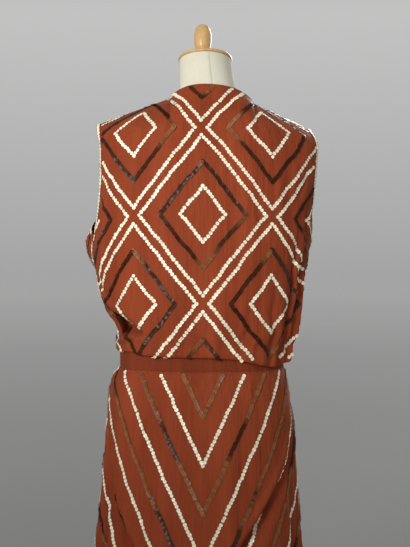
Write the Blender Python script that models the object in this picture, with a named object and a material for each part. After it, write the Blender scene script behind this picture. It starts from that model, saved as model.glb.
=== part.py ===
"""Sleeveless chiffon dress with a bloused bodice and a dropped waist, worn by a limbless dress form on a round foot.

Metres, +Z up. The front of the dress faces -Y, its back +Y, and the left side of the wearer is +X.
The origin is the centre of the foot's underside. Every cloth piece is a closed wall of cloth, cut where it is sewn.
"""

import math

import bmesh
import bpy
from mathutils import Matrix, Vector

# ---------------------------------------------------------------- driving sizes (m, degrees)
WALL = 0.0015            # thickness of a cloth wall
SEAM = 0.0003            # space between two sewn edges, and between pieces that touch
SEAM_LEFT = 10.0         # angle of the left side seam, a little behind the widest point
SEAM_RIGHT = 184.0       # angle of the right side seam, a little in front of it
BAND_TOP = 0.9160        # dropped waistband, upper and lower edge
BAND_BOTTOM = 0.8800
FACE_LEVEL = 0.9260      # height at which the bloused cloth leaves its fold and rises
CHEST_LEVEL = 1.2900     # above this height the panels roll over the shoulders
UNDERARM = 1.1300        # lowest point of both armholes
HEM_LEVEL = 0.2700
TIP_LEFT = (0.2067, 1.3500)     # x and z of the shoulder tips
TIP_RIGHT = (-0.2106, 1.3380)
NECK_LEFT = (0.0600, 1.4035)    # x and z of the points where the shoulder seams meet the neckline
NECK_RIGHT = (-0.0960, 1.3930)
NECK_BACK = 0.0650       # how far behind and in front of the shoulder seams the neckline runs
NECK_FRONT = 0.0860
NECK_RISE = 0.0165       # the back neckline rises by this much, the front one falls by the other
NECK_DROP = 0.0340
NECK_TOP = (-0.0045, -0.0120, 1.4760)   # centre of the cut neck, which leans forwards
NECK_TILT = 9.0
COLUMNS = 32             # facets across one cloth panel
FORM_SIDES = 36          # facets around the bust of the form

# Sections of the bodice above its fold: height, reach to each side, squareness of the oval
BODICE = [dict(zip(("z", "left", "right", "back", "front", "square"), row)) for row in (
    (0.9260, 0.1675, 0.1715, 0.1240, 0.1230, 2.3),
    (0.9500, 0.1655, 0.1830, 0.1290, 0.1300, 2.3),
    (0.9650, 0.1710, 0.1860, 0.1310, 0.1330, 2.3),
    (0.9850, 0.1850, 0.1880, 0.1320, 0.1360, 2.3),
    (1.0240, 0.1990, 0.1950, 0.1310, 0.1400, 2.3),
    (1.0600, 0.2060, 0.1985, 0.1290, 0.1440, 2.3),
    (1.1000, 0.2110, 0.2055, 0.1270, 0.1480, 2.35),
    (1.1300, 0.2110, 0.2105, 0.1260, 0.1500, 2.4),
    (1.1700, 0.2085, 0.2110, 0.1250, 0.1490, 2.4),
    (1.2100, 0.2060, 0.2170, 0.1230, 0.1430, 2.4),
    (1.2500, 0.2045, 0.2230, 0.1190, 0.1330, 2.4),
    (1.2900, 0.2050, 0.2280, 0.1120, 0.1200, 2.4))]

# How the bodice runs from its seam down into the hanging fold and out again:
# share of the way out from the band to the face, and height above the band's upper edge
FOLD_OVER = [dict(zip(("share", "rise", "droop"), row)) for row in (
    (-0.13, 0.0003, 0.0),
    (0.12, 0.0004, 0.0),
    (0.26, -0.0050, 0.3),
    (0.38, -0.0120, 0.8),
    (0.60, -0.0150, 1.0),
    (0.87, -0.0095, 0.9),
    (1.00, 0.0100, 0.0))]

# Extra depth of the hanging fold around the waist, by angle, and how much of the fold's own depth there is:
# at the left hip the bodice lies flat on the band
DROOP = [dict(zip(("angle", "fall", "hang"), row)) for row in (
    (0.0, 0.0000, 0.14), (40.0, 0.0000, 0.14), (52.0, 0.0000, 0.45), (65.0, 0.0000, 0.6), (85.0, 0.0000, 0.66),
    (105.0, 0.0010, 0.8), (118.0, 0.0050, 0.95), (130.0, 0.0115, 1.0), (142.0, 0.0150, 1.0), (153.0, 0.0112, 1.0),
    (162.0, 0.0080, 1.0), (185.0, 0.0055, 1.0), (230.0, 0.0015, 1.0), (270.0, 0.0030, 1.0), (310.0, 0.0060, 1.0),
    (335.0, 0.0010, 0.4), (350.0, 0.0000, 0.14), (360.0, 0.0000, 0.14))]

# Angles where the panels end at each height of the armholes
ARMHOLE = [dict(zip(("z", "back_left", "back_right", "front_left", "front_right"), row)) for row in (
    (1.1300, 10.0, 184.0, 10.0, 184.0),
    (1.1450, 14.0, 178.0, 1.0, 188.5),
    (1.1700, 17.0, 171.5, -8.0, 193.0),
    (1.2100, 19.0, 166.5, -15.0, 197.0),
    (1.2500, 19.5, 163.5, -18.0, 199.0),
    (1.2900, 19.0, 162.0, -19.0, 200.0))]

BAND = dict(left=0.1610, right=0.1565, back=0.1120, front=0.1090, square=2.3)

# Sections of the skirt, from the band to the hem
SKIRT = [dict(zip(("z", "left", "right", "back", "front", "square"), row)) for row in (
    (0.8797, 0.1610, 0.1565, 0.1120, 0.1090, 2.3),
    (0.8560, 0.1780, 0.1630, 0.1200, 0.1160, 2.3),
    (0.8150, 0.1830, 0.1690, 0.1270, 0.1220, 2.3),
    (0.7650, 0.1875, 0.1760, 0.1310, 0.1270, 2.25),
    (0.6650, 0.1950, 0.1815, 0.1380, 0.1340, 2.2),
    (0.5300, 0.2080, 0.1900, 0.1470, 0.1430, 2.15),
    (0.4000, 0.2190, 0.2020, 0.1570, 0.1530, 2.1),
    (0.2700, 0.2290, 0.2130, 0.1660, 0.1620, 2.1))]

# Largest folds: angle at the lower and upper end, heights of the ends, half-width in degrees, height of the ridge
# (a trough where it is below zero)
FOLD_COLUMNS = ("low", "high", "z_low", "z_high", "width", "ridge")
BODICE_FOLDS = [dict(zip(FOLD_COLUMNS, row)) for row in (
    (-13.0, -11.0, 1.0500, 1.1850, 15.0, 0.0260),   # pouch in front of the left underarm
    (40.0, 16.0, 0.9260, 1.0050, 7.0, -0.0035),     # deep crease over the left hip
    (57.0, 34.0, 0.9260, 1.0400, 9.0, 0.0050),
    (80.0, 74.0, 0.9260, 1.0000, 7.0, -0.0040),
    (104.0, 108.0, 0.9260, 1.0300, 7.0, -0.0040),
    (128.0, 126.0, 0.9260, 1.0000, 8.0, 0.0040),
    (150.0, 147.0, 0.9260, 1.1600, 7.0, -0.0065),   # upright folds down the right side
    (161.0, 160.0, 0.9260, 1.2100, 7.0, 0.0050),
    (173.0, 172.0, 0.9260, 1.1700, 6.5, -0.0055),
    (196.0, 198.0, 0.9260, 1.1000, 8.0, 0.0050),
    (214.0, 208.0, 0.9260, 1.1200, 8.0, -0.0060),
    (238.0, 246.0, 0.9260, 1.0200, 8.0, 0.0040),
    (262.0, 258.0, 0.9260, 1.0300, 7.0, -0.0045),
    (288.0, 292.0, 0.9260, 1.0100, 7.0, -0.0040),
    (312.0, 306.0, 0.9260, 1.0600, 8.0, 0.0045),
    (328.0, 334.0, 0.9260, 1.0900, 7.0, -0.0050))]
SKIRT_FOLDS = [dict(zip(FOLD_COLUMNS, row)) for row in (
    (13.0, 15.0, 0.1500, 0.8600, 7.0, 0.0060),
    (25.0, 28.0, 0.1000, 0.8500, 7.0, -0.0110),
    (39.0, 41.0, 0.1200, 0.8300, 8.0, 0.0060),
    (58.0, 60.0, 0.1500, 0.7600, 8.0, -0.0040),
    (122.0, 120.0, 0.1200, 0.7600, 8.0, -0.0040),
    (142.0, 138.0, 0.1000, 0.8300, 8.0, 0.0060),
    (156.0, 153.0, 0.1200, 0.8500, 7.0, -0.0110),
    (169.0, 168.0, 0.1500, 0.8500, 7.0, 0.0060),
    (186.0, 184.0, 0.1000, 0.8400, 7.0, -0.0070),
    (206.0, 204.0, 0.1200, 0.8400, 8.0, -0.0080),
    (222.0, 219.0, 0.1200, 0.8200, 8.0, 0.0050),
    (244.0, 242.0, 0.1200, 0.7400, 8.0, -0.0040),
    (297.0, 300.0, 0.1200, 0.7600, 8.0, -0.0040),
    (317.0, 321.0, 0.1000, 0.8300, 8.0, 0.0060),
    (334.0, 336.0, 0.1200, 0.8500, 7.0, -0.0100),
    (350.0, 351.0, 0.1200, 0.8500, 7.0, 0.0040))]

# Heights of the facet rows
BODICE_LEVELS = (0.9500, 0.9750, 1.0050, 1.0450, 1.0900, 1.1300, 1.1450, 1.1700, 1.2150, 1.2550, 1.2900)
ROLL_STEPS = 4           # facet rows from the chest level to the shoulder seams and the neckline
SKIRT_LEVELS = (0.8797, 0.8640, 0.8350, 0.7800, 0.6800, 0.5500, 0.4100, 0.2700)

# Sections of the form's covered bust, from the flat lower end to the cut neck
FORM = [dict(zip(("z", "side", "back", "front", "square", "lean", "forward", "tilt"), row)) for row in (
    (0.7450, 0.1440, 0.0950, 0.0860, 2.2, 0.0, 0.0, 0.0),
    (0.7520, 0.1530, 0.1020, 0.0930, 2.2, 0.0, 0.0, 0.0),
    (0.7850, 0.1610, 0.1090, 0.0980, 2.2, 0.0, 0.0, 0.0),
    (0.8200, 0.1620, 0.1110, 0.1010, 2.2, 0.0, 0.0, 0.0),
    (0.8600, 0.1540, 0.1080, 0.1020, 2.2, 0.0, 0.0, 0.0),
    (0.9000, 0.1450, 0.1010, 0.0990, 2.2, 0.0, 0.0, 0.0),
    (0.9500, 0.1370, 0.0930, 0.0950, 2.15, 0.0, 0.0, 0.0),
    (1.0000, 0.1300, 0.0860, 0.0900, 2.1, 0.0, 0.0, 0.0),
    (1.0400, 0.1350, 0.0900, 0.0980, 2.1, 0.0, 0.0, 0.0),
    (1.1000, 0.1560, 0.1010, 0.1140, 2.2, 0.0, 0.0, 0.0),
    (1.1500, 0.1700, 0.1070, 0.1290, 2.25, 0.0, 0.0, 0.0),
    (1.1900, 0.1770, 0.1080, 0.1340, 2.3, 0.0, 0.0, 0.0),
    (1.2400, 0.1820, 0.1050, 0.1220, 2.3, 0.0, 0.0, 0.0),
    (1.2900, 0.1820, 0.0930, 0.1000, 2.3, 0.0, 0.0, 0.0),
    (1.3250, 0.1710, 0.0790, 0.0835, 2.2, 0.0, 0.0, 0.0),
    (1.3450, 0.1550, 0.0690, 0.0725, 2.1, -0.0005, 0.0, 0.0),
    (1.3600, 0.1320, 0.0620, 0.0650, 2.05, -0.0020, 0.0, 0.0),
    (1.3730, 0.1060, 0.0575, 0.0600, 2.0, -0.0040, 0.0, 0.0),
    (1.3830, 0.0830, 0.0550, 0.0565, 2.0, -0.0060, 0.0, 0.0),
    (1.3920, 0.0680, 0.0540, 0.0550, 2.0, -0.0080, 0.0005, 0.5),
    (1.4020, 0.0590, 0.0535, 0.0540, 2.0, -0.0095, 0.0015, 1.5),
    (1.4180, 0.0555, 0.0535, 0.0535, 2.0, -0.0095, 0.0040, 3.5),
    (1.4460, 0.0525, 0.0515, 0.0515, 2.0, -0.0070, 0.0080, 6.5),
    (1.4760, 0.0510, 0.0505, 0.0505, 2.0, -0.0045, 0.0120, 9.0))]

# Turned pieces: radius and height of each ring, above the cut neck for the cap and the finial
CAP = [dict(zip(("radius", "z"), row)) for row in (
    (0.0505, 0.0003), (0.0522, 0.0010), (0.0528, 0.0028), (0.0525, 0.0050), (0.0508, 0.0066), (0.0470, 0.0076),
    (0.0300, 0.0094))]
FINIAL = [dict(zip(("radius", "z"), row)) for row in (
    (0.0108, 0.0097), (0.0118, 0.0116), (0.0112, 0.0143), (0.0104, 0.0168), (0.0121, 0.0213), (0.0150, 0.0288),
    (0.0168, 0.0385), (0.0174, 0.0480), (0.0168, 0.0580), (0.0142, 0.0670), (0.0094, 0.0732), (0.0044, 0.0755))]
POST = [dict(zip(("radius", "z"), row)) for row in (
    (0.0290, 0.0343), (0.0300, 0.0400), (0.0250, 0.0520), (0.0190, 0.0680), (0.0175, 0.1000), (0.0190, 0.1500),
    (0.0215, 0.1700), (0.0190, 0.1900), (0.0175, 0.2400), (0.0175, 0.7000), (0.0210, 0.7200), (0.0230, 0.7447))]
BASE = [dict(zip(("radius", "z"), row)) for row in (
    (0.1960, 0.0000), (0.2000, 0.0040), (0.2000, 0.0170), (0.1960, 0.0225), (0.1820, 0.0255), (0.1000, 0.0310),
    (0.0400, 0.0340))]

LOOKS = {
    "cloth": ((0.330, 0.062, 0.026, 1.0), 0.78, 0.0),
    "jersey": ((0.790, 0.750, 0.600, 1.0), 0.85, 0.0),
    "wood": ((0.730, 0.480, 0.230, 1.0), 0.42, 0.0),
}


# ---------------------------------------------------------------- reading the tables
def slope(rows, key, name, i):
    """Slope of a column at a row, held so that the curve never overshoots its rows."""
    def step(k):
        return (rows[k + 1][name] - rows[k][name]) / (rows[k + 1][key] - rows[k][key])

    if i == 0:
        return step(0)
    if i == len(rows) - 1:
        return step(i - 1)
    a, b = step(i - 1), step(i)
    return 0.0 if a * b <= 0.0 else 2.0 * a * b / (a + b)


def read(rows, key, name, at):
    """Smooth value of a named column between the rows of a table."""
    if at <= rows[0][key]:
        return rows[0][name]
    if at >= rows[-1][key]:
        return rows[-1][name]
    i = max(k for k in range(len(rows) - 1) if rows[k][key] <= at)
    h = rows[i + 1][key] - rows[i][key]
    t = (at - rows[i][key]) / h
    m0, m1 = slope(rows, key, name, i) * h, slope(rows, key, name, i + 1) * h
    p0, p1 = rows[i][name], rows[i + 1][name]
    return ((2 * t - 3) * t * t + 1) * p0 + ((t - 2) * t + 1) * t * m0 + (3 - 2 * t) * t * t * p1 + (t - 1) * t * t * m1


def smooth(t):
    t = min(1.0, max(0.0, t))
    return t * t * (3.0 - 2.0 * t)


def section(rows, z):
    """The oval of a table of sections at a height, with its rows in rising order."""
    rising = rows if rows[0]["z"] < rows[-1]["z"] else rows[::-1]
    return {name: read(rising, "z", name, z) for name in rising[0] if name != "z"}


def oval(shape, angle):
    """Point on an oval whose four quarters have their own reach, and the direction outwards."""
    c, s = math.cos(math.radians(angle)), math.sin(math.radians(angle))
    a = shape["left"] if c >= 0.0 else shape["right"]
    b = shape["back"] if s >= 0.0 else shape["front"]
    power = 2.0 / shape["square"]
    x = math.copysign(abs(c) ** power, c) * a
    y = math.copysign(abs(s) ** power, s) * b
    out = Vector((math.copysign(abs(c) ** (2.0 - power), c) / a, math.copysign(abs(s) ** (2.0 - power), s) / b, 0.0))
    return Vector((x, y, 0.0)), out.normalized()


def ridges(folds, angle, z):
    """Height of all folds of a table at one angle and height."""
    total = 0.0
    for fold in folds:
        t = (z - fold["z_low"]) / (fold["z_high"] - fold["z_low"])
        if t >= 1.0:
            continue
        t = max(0.0, t)
        away = (angle - (fold["low"] + (fold["high"] - fold["low"]) * t) + 180.0) % 360.0 - 180.0
        total += fold["ridge"] * (1.0 - smooth(t)) * math.exp(-0.5 * (away / (0.6 * fold["width"])) ** 2)
    return total


def pouch(folds, angle, z):
    """The same for a fold that swells and fades between its two heights."""
    total = 0.0
    for fold in folds:
        t = (z - fold["z_low"]) / (fold["z_high"] - fold["z_low"])
        if 0.0 < t < 1.0:
            away = (angle - (fold["low"] + (fold["high"] - fold["low"]) * t) + 180.0) % 360.0 - 180.0
            total += fold["ridge"] * math.sin(math.pi * t) ** 2 * math.exp(-0.5 * (away / (0.6 * fold["width"])) ** 2)
    return total


# ---------------------------------------------------------------- surfaces of the dress
def bodice_ring(angle, z):
    point, out = oval(section(BODICE, z), angle)
    lift = ridges(BODICE_FOLDS[1:], angle, z) + pouch(BODICE_FOLDS[:1], angle, z)
    point += out * lift
    point.z = z
    return point


def band_point(angle, z):
    point, out = oval(BAND, angle)
    point.z = z
    return point


def fold_over(angle, row):
    """Cloth between the band's upper edge and the face of the bodice, hanging a little below the edge."""
    edge = band_point(angle, BAND_TOP)
    face = bodice_ring(angle, FACE_LEVEL)
    fall, hang = (read(DROOP, "angle", name, angle % 360.0) for name in ("fall", "hang"))
    point = edge.lerp(face, row["share"])
    point.z = BAND_TOP + SEAM + (row["rise"] - SEAM) * (hang if row["rise"] < SEAM else 1.0) - row["droop"] * fall
    return point


def top_line(back, u):
    """Shoulder seam, neckline and shoulder seam again, from the left tip to the right one."""
    turn = 162.0 - 144.0 * (1.0 - u)
    c = math.cos(math.radians(turn))
    reach = math.cos(math.radians(18.0)) ** 0.87
    across = math.copysign(abs(c) ** 0.87, c) / reach
    x = 0.5 * (TIP_LEFT[0] + TIP_RIGHT[0]) + 0.5 * (TIP_LEFT[0] - TIP_RIGHT[0]) * across
    side = 1.0 if back else -1.0
    y = side * SEAM / 2.0
    if x > NECK_LEFT[0]:
        t = (x - NECK_LEFT[0]) / (TIP_LEFT[0] - NECK_LEFT[0])
        z = NECK_LEFT[1] + (TIP_LEFT[1] - NECK_LEFT[1]) * t
    elif x < NECK_RIGHT[0]:
        t = (x - NECK_RIGHT[0]) / (TIP_RIGHT[0] - NECK_RIGHT[0])
        z = NECK_RIGHT[1] + (TIP_RIGHT[1] - NECK_RIGHT[1]) * t
    else:
        middle, half = 0.5 * (NECK_LEFT[0] + NECK_RIGHT[0]), 0.5 * (NECK_LEFT[0] - NECK_RIGHT[0])
        s = abs(x - middle) / half
        t = (x - NECK_RIGHT[0]) / (2.0 * half)
        z = NECK_RIGHT[1] + (NECK_LEFT[1] - NECK_RIGHT[1]) * t
        if back:
            z += NECK_RISE * (1.0 - s ** 2.5)
            y += NECK_BACK * max(0.0, 1.0 - s ** 2.3) ** 0.5
        else:
            z -= NECK_DROP * (1.0 - s ** 2.0)
            y -= NECK_FRONT * max(0.0, 1.0 - s ** 2.3) ** 0.5
    return Vector((x, y, z))


def panel_angle(back, u, z):
    """Angle around the body of a panel's column, between its side seams or its armhole edges."""
    names = ("back_left", "back_right") if back else ("front_left", "front_right")
    if z <= UNDERARM:
        left, right = SEAM_LEFT, SEAM_RIGHT
    else:
        left, right = (read(ARMHOLE, "z", name, z) for name in names)
    if not back:
        left += 360.0
    return left + (right - left) * u


def rolled(back, u, t):
    """Upper part of a panel, from the chest level over the shoulder to its seam, or up to the neckline."""
    start = bodice_ring(panel_angle(back, u, CHEST_LEVEL), CHEST_LEVEL)
    below = bodice_ring(panel_angle(back, u, CHEST_LEVEL - 0.004), CHEST_LEVEL - 0.004)
    rise = (start - below) / 0.004
    end = top_line(back, u)
    middle, half = 0.5 * (NECK_LEFT[0] + NECK_RIGHT[0]), 0.5 * (NECK_LEFT[0] - NECK_RIGHT[0])
    over = smooth(abs(end.x - middle) / half / 1.15)
    steep = 1.9 + (0.30 - 1.9) * over
    heading = Vector((0.0, -1.0 if back else 1.0, steep)).normalized()
    reach = (end - start).length
    a = start + rise * ((0.30 + 0.20 * over) * (end.z - start.z))
    b = end - heading * (0.49 * reach)
    q = 1.0 - t
    return start * q ** 3 + a * (3 * q * q * t) + b * (3 * q * t * t) + end * t ** 3


def skirt_point(angle, z):
    point, out = oval(section(SKIRT, z), angle)
    point += out * ridges(SKIRT_FOLDS, angle, z)
    point.z = z
    return point


# ---------------------------------------------------------------- solids
def neck_columns():
    """Evenly spaced columns, with the nearest ones moved onto the corners of the neckline."""
    us = [i / COLUMNS for i in range(COLUMNS + 1)]
    for corner in (NECK_LEFT[0], NECK_RIGHT[0]):
        low, high = 0.0, 1.0
        for _ in range(40):
            mid = 0.5 * (low + high)
            if top_line(True, mid).x > corner:
                low = mid
            else:
                high = mid
        near = min(range(len(us)), key=lambda k: abs(us[k] - low))
        us[near] = low
    return us


def finish(name, bm, look):
    bmesh.ops.recalc_face_normals(bm, faces=bm.faces[:])
    if bm.calc_volume(signed=True) < 0.0:
        bmesh.ops.reverse_faces(bm, faces=bm.faces[:])
    mesh = bpy.data.meshes.new(name)
    bm.to_mesh(mesh)
    bm.free()
    mesh.shade_smooth()
    mesh.set_sharp_from_angle(angle=math.radians(50.0))
    colour, rough, metal = LOOKS[look]
    material = bpy.data.materials.new(name + "_" + look)
    material.use_nodes = True
    shader = next(n for n in material.node_tree.nodes if n.type == "BSDF_PRINCIPLED")
    shader.inputs["Base Color"].default_value = colour
    shader.inputs["Roughness"].default_value = rough
    shader.inputs["Metallic"].default_value = metal
    material.diffuse_color = colour
    mesh.materials.append(material)
    obj = bpy.data.objects.new(name, mesh)
    bpy.context.scene.collection.objects.link(obj)
    return obj


def sheet(name, rows, look, edge_normals):
    """Closed wall of cloth over a grid of points, thickened inwards along its own normals.

    edge_normals gives the direction outwards of chosen points, so that two sewn edges have parallel walls.
    """
    height, width = len(rows), len(rows[0])
    inner = []
    for i in range(height):
        line = []
        for j in range(width):
            du = rows[i][min(j + 1, width - 1)] - rows[i][max(j - 1, 0)]
            dv = rows[min(i + 1, height - 1)][j] - rows[max(i - 1, 0)][j]
            normal = dv.cross(du).normalized() * edge_normals["turn"]
            if (i, j) in edge_normals:
                normal = edge_normals[(i, j)]
            line.append(rows[i][j] - normal * WALL)
        inner.append(line)
    bm = bmesh.new()
    front = [[bm.verts.new(p) for p in line] for line in rows]
    rear = [[bm.verts.new(p) for p in line] for line in inner]
    for i in range(height - 1):
        for j in range(width - 1):
            bm.faces.new((front[i][j], front[i][j + 1], front[i + 1][j + 1], front[i + 1][j]))
            bm.faces.new((rear[i][j], rear[i + 1][j], rear[i + 1][j + 1], rear[i][j + 1]))
    rim = [(0, j) for j in range(width - 1)] + [(i, width - 1) for i in range(height - 1)]
    rim += [(height - 1, j) for j in range(width - 1, 0, -1)] + [(i, 0) for i in range(height - 1, 0, -1)]
    for k, (i, j) in enumerate(rim):
        m, n = rim[(k + 1) % len(rim)]
        bm.faces.new((front[i][j], rear[i][j], rear[m][n], front[m][n]))
    bmesh.ops.triangulate(bm, faces=bm.faces[:])
    return finish(name, bm, look)


def shift_edges(rows, back):
    """Moves the seam columns of a panel half a seam's width into the panel, along the body."""
    half = SEAM / 2.0
    for line in rows:
        for j, step in ((0, 1), (len(line) - 1, -1)):
            along = (line[j + step] - line[j])
            along.z = 0.0
            line[j] = line[j] + along.normalized() * half
    return rows


def bodice_panel(name, back):
    us = neck_columns()
    rows, normals = [], {"turn": 1.0}
    for over in FOLD_OVER:
        rows.append([fold_over(panel_angle(back, u, 0.0), over) for u in us])
    for z in BODICE_LEVELS:
        rows.append([bodice_ring(panel_angle(back, u, z), z) for u in us])
    for k in range(1, ROLL_STEPS + 1):
        rows.append([rolled(back, u, k / ROLL_STEPS) for u in us])
    last = len(rows) - 1
    sewn = len(FOLD_OVER) + sum(1 for z in BODICE_LEVELS if z <= UNDERARM)
    shift_edges(rows[:sewn], back)
    normals["turn"] = -1.0 if back else 1.0
    for i in range(sewn):
        for j, angle in ((0, SEAM_LEFT), (len(us) - 1, SEAM_RIGHT)):
            _, out = oval(BAND, angle)
            below, above = rows[max(0, i - 1)][j], rows[min(last, i + 1)][j]
            climb = (above - below)
            climb = Vector((0.0, 0.0, climb.z)) + out * climb.dot(out)
            side = Vector((-out.y, out.x, 0.0))
            normals[(i, j)] = side.cross(climb).normalized()
    for j in range(len(us)):
        along = rows[last][min(j + 1, len(us) - 1)] - rows[last][max(j - 1, 0)]
        if abs(rows[last][j].y) <= SEAM:
            if j == 0 or abs(rows[last][j - 1].y) <= SEAM:
                along = rows[last][j] - rows[last][max(0, j - 1)] if j else rows[last][1] - rows[last][0]
            else:
                along = rows[last][j + 1] - rows[last][j]
            up = Vector((-along.z, 0.0, along.x)).normalized()
            normals[(last, j)] = up if up.z > 0.0 else -up
    return sheet(name, rows, "cloth", normals)


def skirt_panel(name, back):
    us = [i / COLUMNS for i in range(COLUMNS + 1)]
    rows = [[skirt_point(panel_angle(back, u, 0.0), z) for u in us] for z in reversed(SKIRT_LEVELS)]
    shift_edges(rows, back)
    normals = {"turn": -1.0 if back else 1.0}
    for i, z in enumerate(reversed(SKIRT_LEVELS)):
        for j, angle in ((0, SEAM_LEFT), (len(us) - 1, SEAM_RIGHT)):
            _, out = oval(section(SKIRT, z), angle)
            normals[(i, j)] = out
    for j, u in enumerate(us):
        _, out = oval(BAND, panel_angle(back, u, 0.0))
        normals[(len(rows) - 1, j)] = out
    return sheet(name, rows, "cloth", normals)


def band(name):
    """The waistband is one ring, closed by a short upright seam at the left side."""
    count = 2 * COLUMNS
    bm = bmesh.new()
    loops = []
    for z, inside in ((BAND_BOTTOM, 0), (BAND_TOP, 0), (BAND_TOP, 1), (BAND_BOTTOM, 1)):
        loop = []
        for k in range(count):
            back = k < COLUMNS
            u = (k % COLUMNS) / COLUMNS
            angle = panel_angle(True, u, 0.0) if back else panel_angle(False, 1.0 - u, 0.0)
            point = band_point(angle, z)
            if inside:
                point -= oval(BAND, angle)[1] * WALL
            loop.append(bm.verts.new(point))
        loops.append(loop)
    for i in range(4):
        a, b = loops[i], loops[(i + 1) % 4]
        for k in range(count):
            m = (k + 1) % count
            bm.faces.new((a[k], a[m], b[m], b[k]))
    bmesh.ops.triangulate(bm, faces=bm.faces[:])
    return finish(name, bm, "cloth")


def stacked(name, rings, look):
    """Closed solid through a stack of rings."""
    bm = bmesh.new()
    loops = [[bm.verts.new(p) for p in ring] for ring in rings]
    for a, b in zip(loops, loops[1:]):
        for k in range(len(a)):
            m = (k + 1) % len(a)
            bm.faces.new((a[k], a[m], b[m], b[k]))
    bm.faces.new(loops[0][::-1])
    bm.faces.new(loops[-1])
    return finish(name, bm, look)


def turned(name, profile, sides, look, foot=(0.0, 0.0, 0.0), tilt=0.0):
    """Turned solid on a foot point, leaning forwards by a tilt in degrees."""
    place = Matrix.Translation(foot) @ Matrix.Rotation(math.radians(tilt), 4, "X")
    rings = [[place @ Vector((row["radius"] * math.cos(2 * math.pi * k / sides),
                              row["radius"] * math.sin(2 * math.pi * k / sides), row["z"])) for k in range(sides)]
             for row in profile]
    return stacked(name, rings, look)


def bust(name):
    rings = []
    for row in FORM:
        shape = dict(left=row["side"], right=row["side"], back=row["back"], front=row["front"], square=row["square"])
        ring = []
        for k in range(FORM_SIDES):
            point, _ = oval(shape, 360.0 * k / FORM_SIDES)
            tilt = math.radians(row["tilt"])
            ring.append(Vector((point.x + row["lean"], point.y * math.cos(tilt) - row["forward"],
                                row["z"] + point.y * math.sin(tilt))))
        rings.append(ring)
    return stacked(name, rings, "jersey")


for old in list(bpy.data.objects):
    bpy.data.objects.remove(old, do_unlink=True)

bodice_panel("bodice_back", True)
bodice_panel("bodice_front", False)
band("waistband")
skirt_panel("skirt_back", True)
skirt_panel("skirt_front", False)
bust("form_torso")
turned("neck_cap", CAP, 36, "wood", NECK_TOP, NECK_TILT)
turned("finial", FINIAL, 20, "wood", (NECK_TOP[0] + 0.0050, NECK_TOP[1], NECK_TOP[2]), NECK_TILT)
turned("post", POST, 20, "wood")
turned("base", BASE, 40, "wood")
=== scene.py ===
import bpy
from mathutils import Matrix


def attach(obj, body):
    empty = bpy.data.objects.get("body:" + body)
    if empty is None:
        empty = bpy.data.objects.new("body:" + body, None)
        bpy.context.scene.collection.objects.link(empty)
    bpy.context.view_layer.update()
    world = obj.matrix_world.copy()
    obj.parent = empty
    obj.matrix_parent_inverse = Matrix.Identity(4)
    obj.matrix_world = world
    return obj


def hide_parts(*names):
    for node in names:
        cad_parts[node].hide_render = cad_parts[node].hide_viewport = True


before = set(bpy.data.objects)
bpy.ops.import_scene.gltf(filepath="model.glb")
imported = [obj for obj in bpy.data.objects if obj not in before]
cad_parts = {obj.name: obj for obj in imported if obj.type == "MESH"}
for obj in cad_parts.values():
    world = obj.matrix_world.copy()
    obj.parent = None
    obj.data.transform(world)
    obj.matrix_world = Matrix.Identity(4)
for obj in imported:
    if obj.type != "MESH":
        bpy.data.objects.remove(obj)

"""Looks of the sleeveless chiffon dress on its dress form: thin creased cloth with narrow rolled edges, lines of sewn
sequins, a jersey-covered bust and turned wood. Metres, +Z up, the back of the dress faces +Y, +X is the wearer's left."""
import math

import bpy
import numpy as np
from mathutils import Vector
from mathutils.bvhtree import BVHTree

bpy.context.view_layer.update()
RNG = np.random.default_rng(31)

# ---------------------------------------------------------------- sizes shared with the solids (m, degrees)
SEAM = 0.0003
SHELL = 0.0008           # thickness of the shown cloth
SEAM_LEFT, SEAM_RIGHT = 10.0, 184.0
BAND_TOP, BAND_BOTTOM = 0.9160, 0.8800
FACE_LEVEL, CHEST_LEVEL, UNDERARM = 0.9260, 1.2900, 1.1300
TIP_LEFT, TIP_RIGHT = (0.2067, 1.3500), (-0.2106, 1.3380)
NECK_LEFT, NECK_RIGHT = (0.0600, 1.4035), (-0.0960, 1.3930)
NECK_BACK, NECK_FRONT, NECK_RISE, NECK_DROP = 0.0650, 0.0860, 0.0165, 0.0340
NECK_TOP, NECK_TILT = (-0.0045, -0.0120, 1.4760), 9.0


def table(names, *rows):
    return {name: np.array([row[k] for row in rows], dtype=float) for k, name in enumerate(names)}


BODICE = table(("z", "left", "right", "back", "front", "square"),
    (0.9260, 0.1675, 0.1715, 0.1240, 0.1230, 2.3),
    (0.9500, 0.1655, 0.1830, 0.1290, 0.1300, 2.3),
    (0.9650, 0.1710, 0.1860, 0.1310, 0.1330, 2.3),
    (0.9850, 0.1850, 0.1880, 0.1320, 0.1360, 2.3),
    (1.0240, 0.1990, 0.1950, 0.1310, 0.1400, 2.3),
    (1.0600, 0.2060, 0.1985, 0.1290, 0.1440, 2.3),
    (1.1000, 0.2110, 0.2055, 0.1270, 0.1480, 2.35),
    (1.1300, 0.2110, 0.2105, 0.1260, 0.1500, 2.4),
    (1.1700, 0.2085, 0.2110, 0.1250, 0.1490, 2.4),
    (1.2100, 0.2060, 0.2170, 0.1230, 0.1430, 2.4),
    (1.2500, 0.2045, 0.2230, 0.1190, 0.1330, 2.4),
    (1.2900, 0.2050, 0.2280, 0.1120, 0.1200, 2.4))
FOLD_OVER = table(("share", "rise", "droop"),
    (-0.13, 0.0003, 0.0), (0.12, 0.0004, 0.0), (0.26, -0.0050, 0.3), (0.38, -0.0120, 0.8),
    (0.60, -0.0150, 1.0), (0.87, -0.0095, 0.9), (1.00, 0.0100, 0.0))
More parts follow.
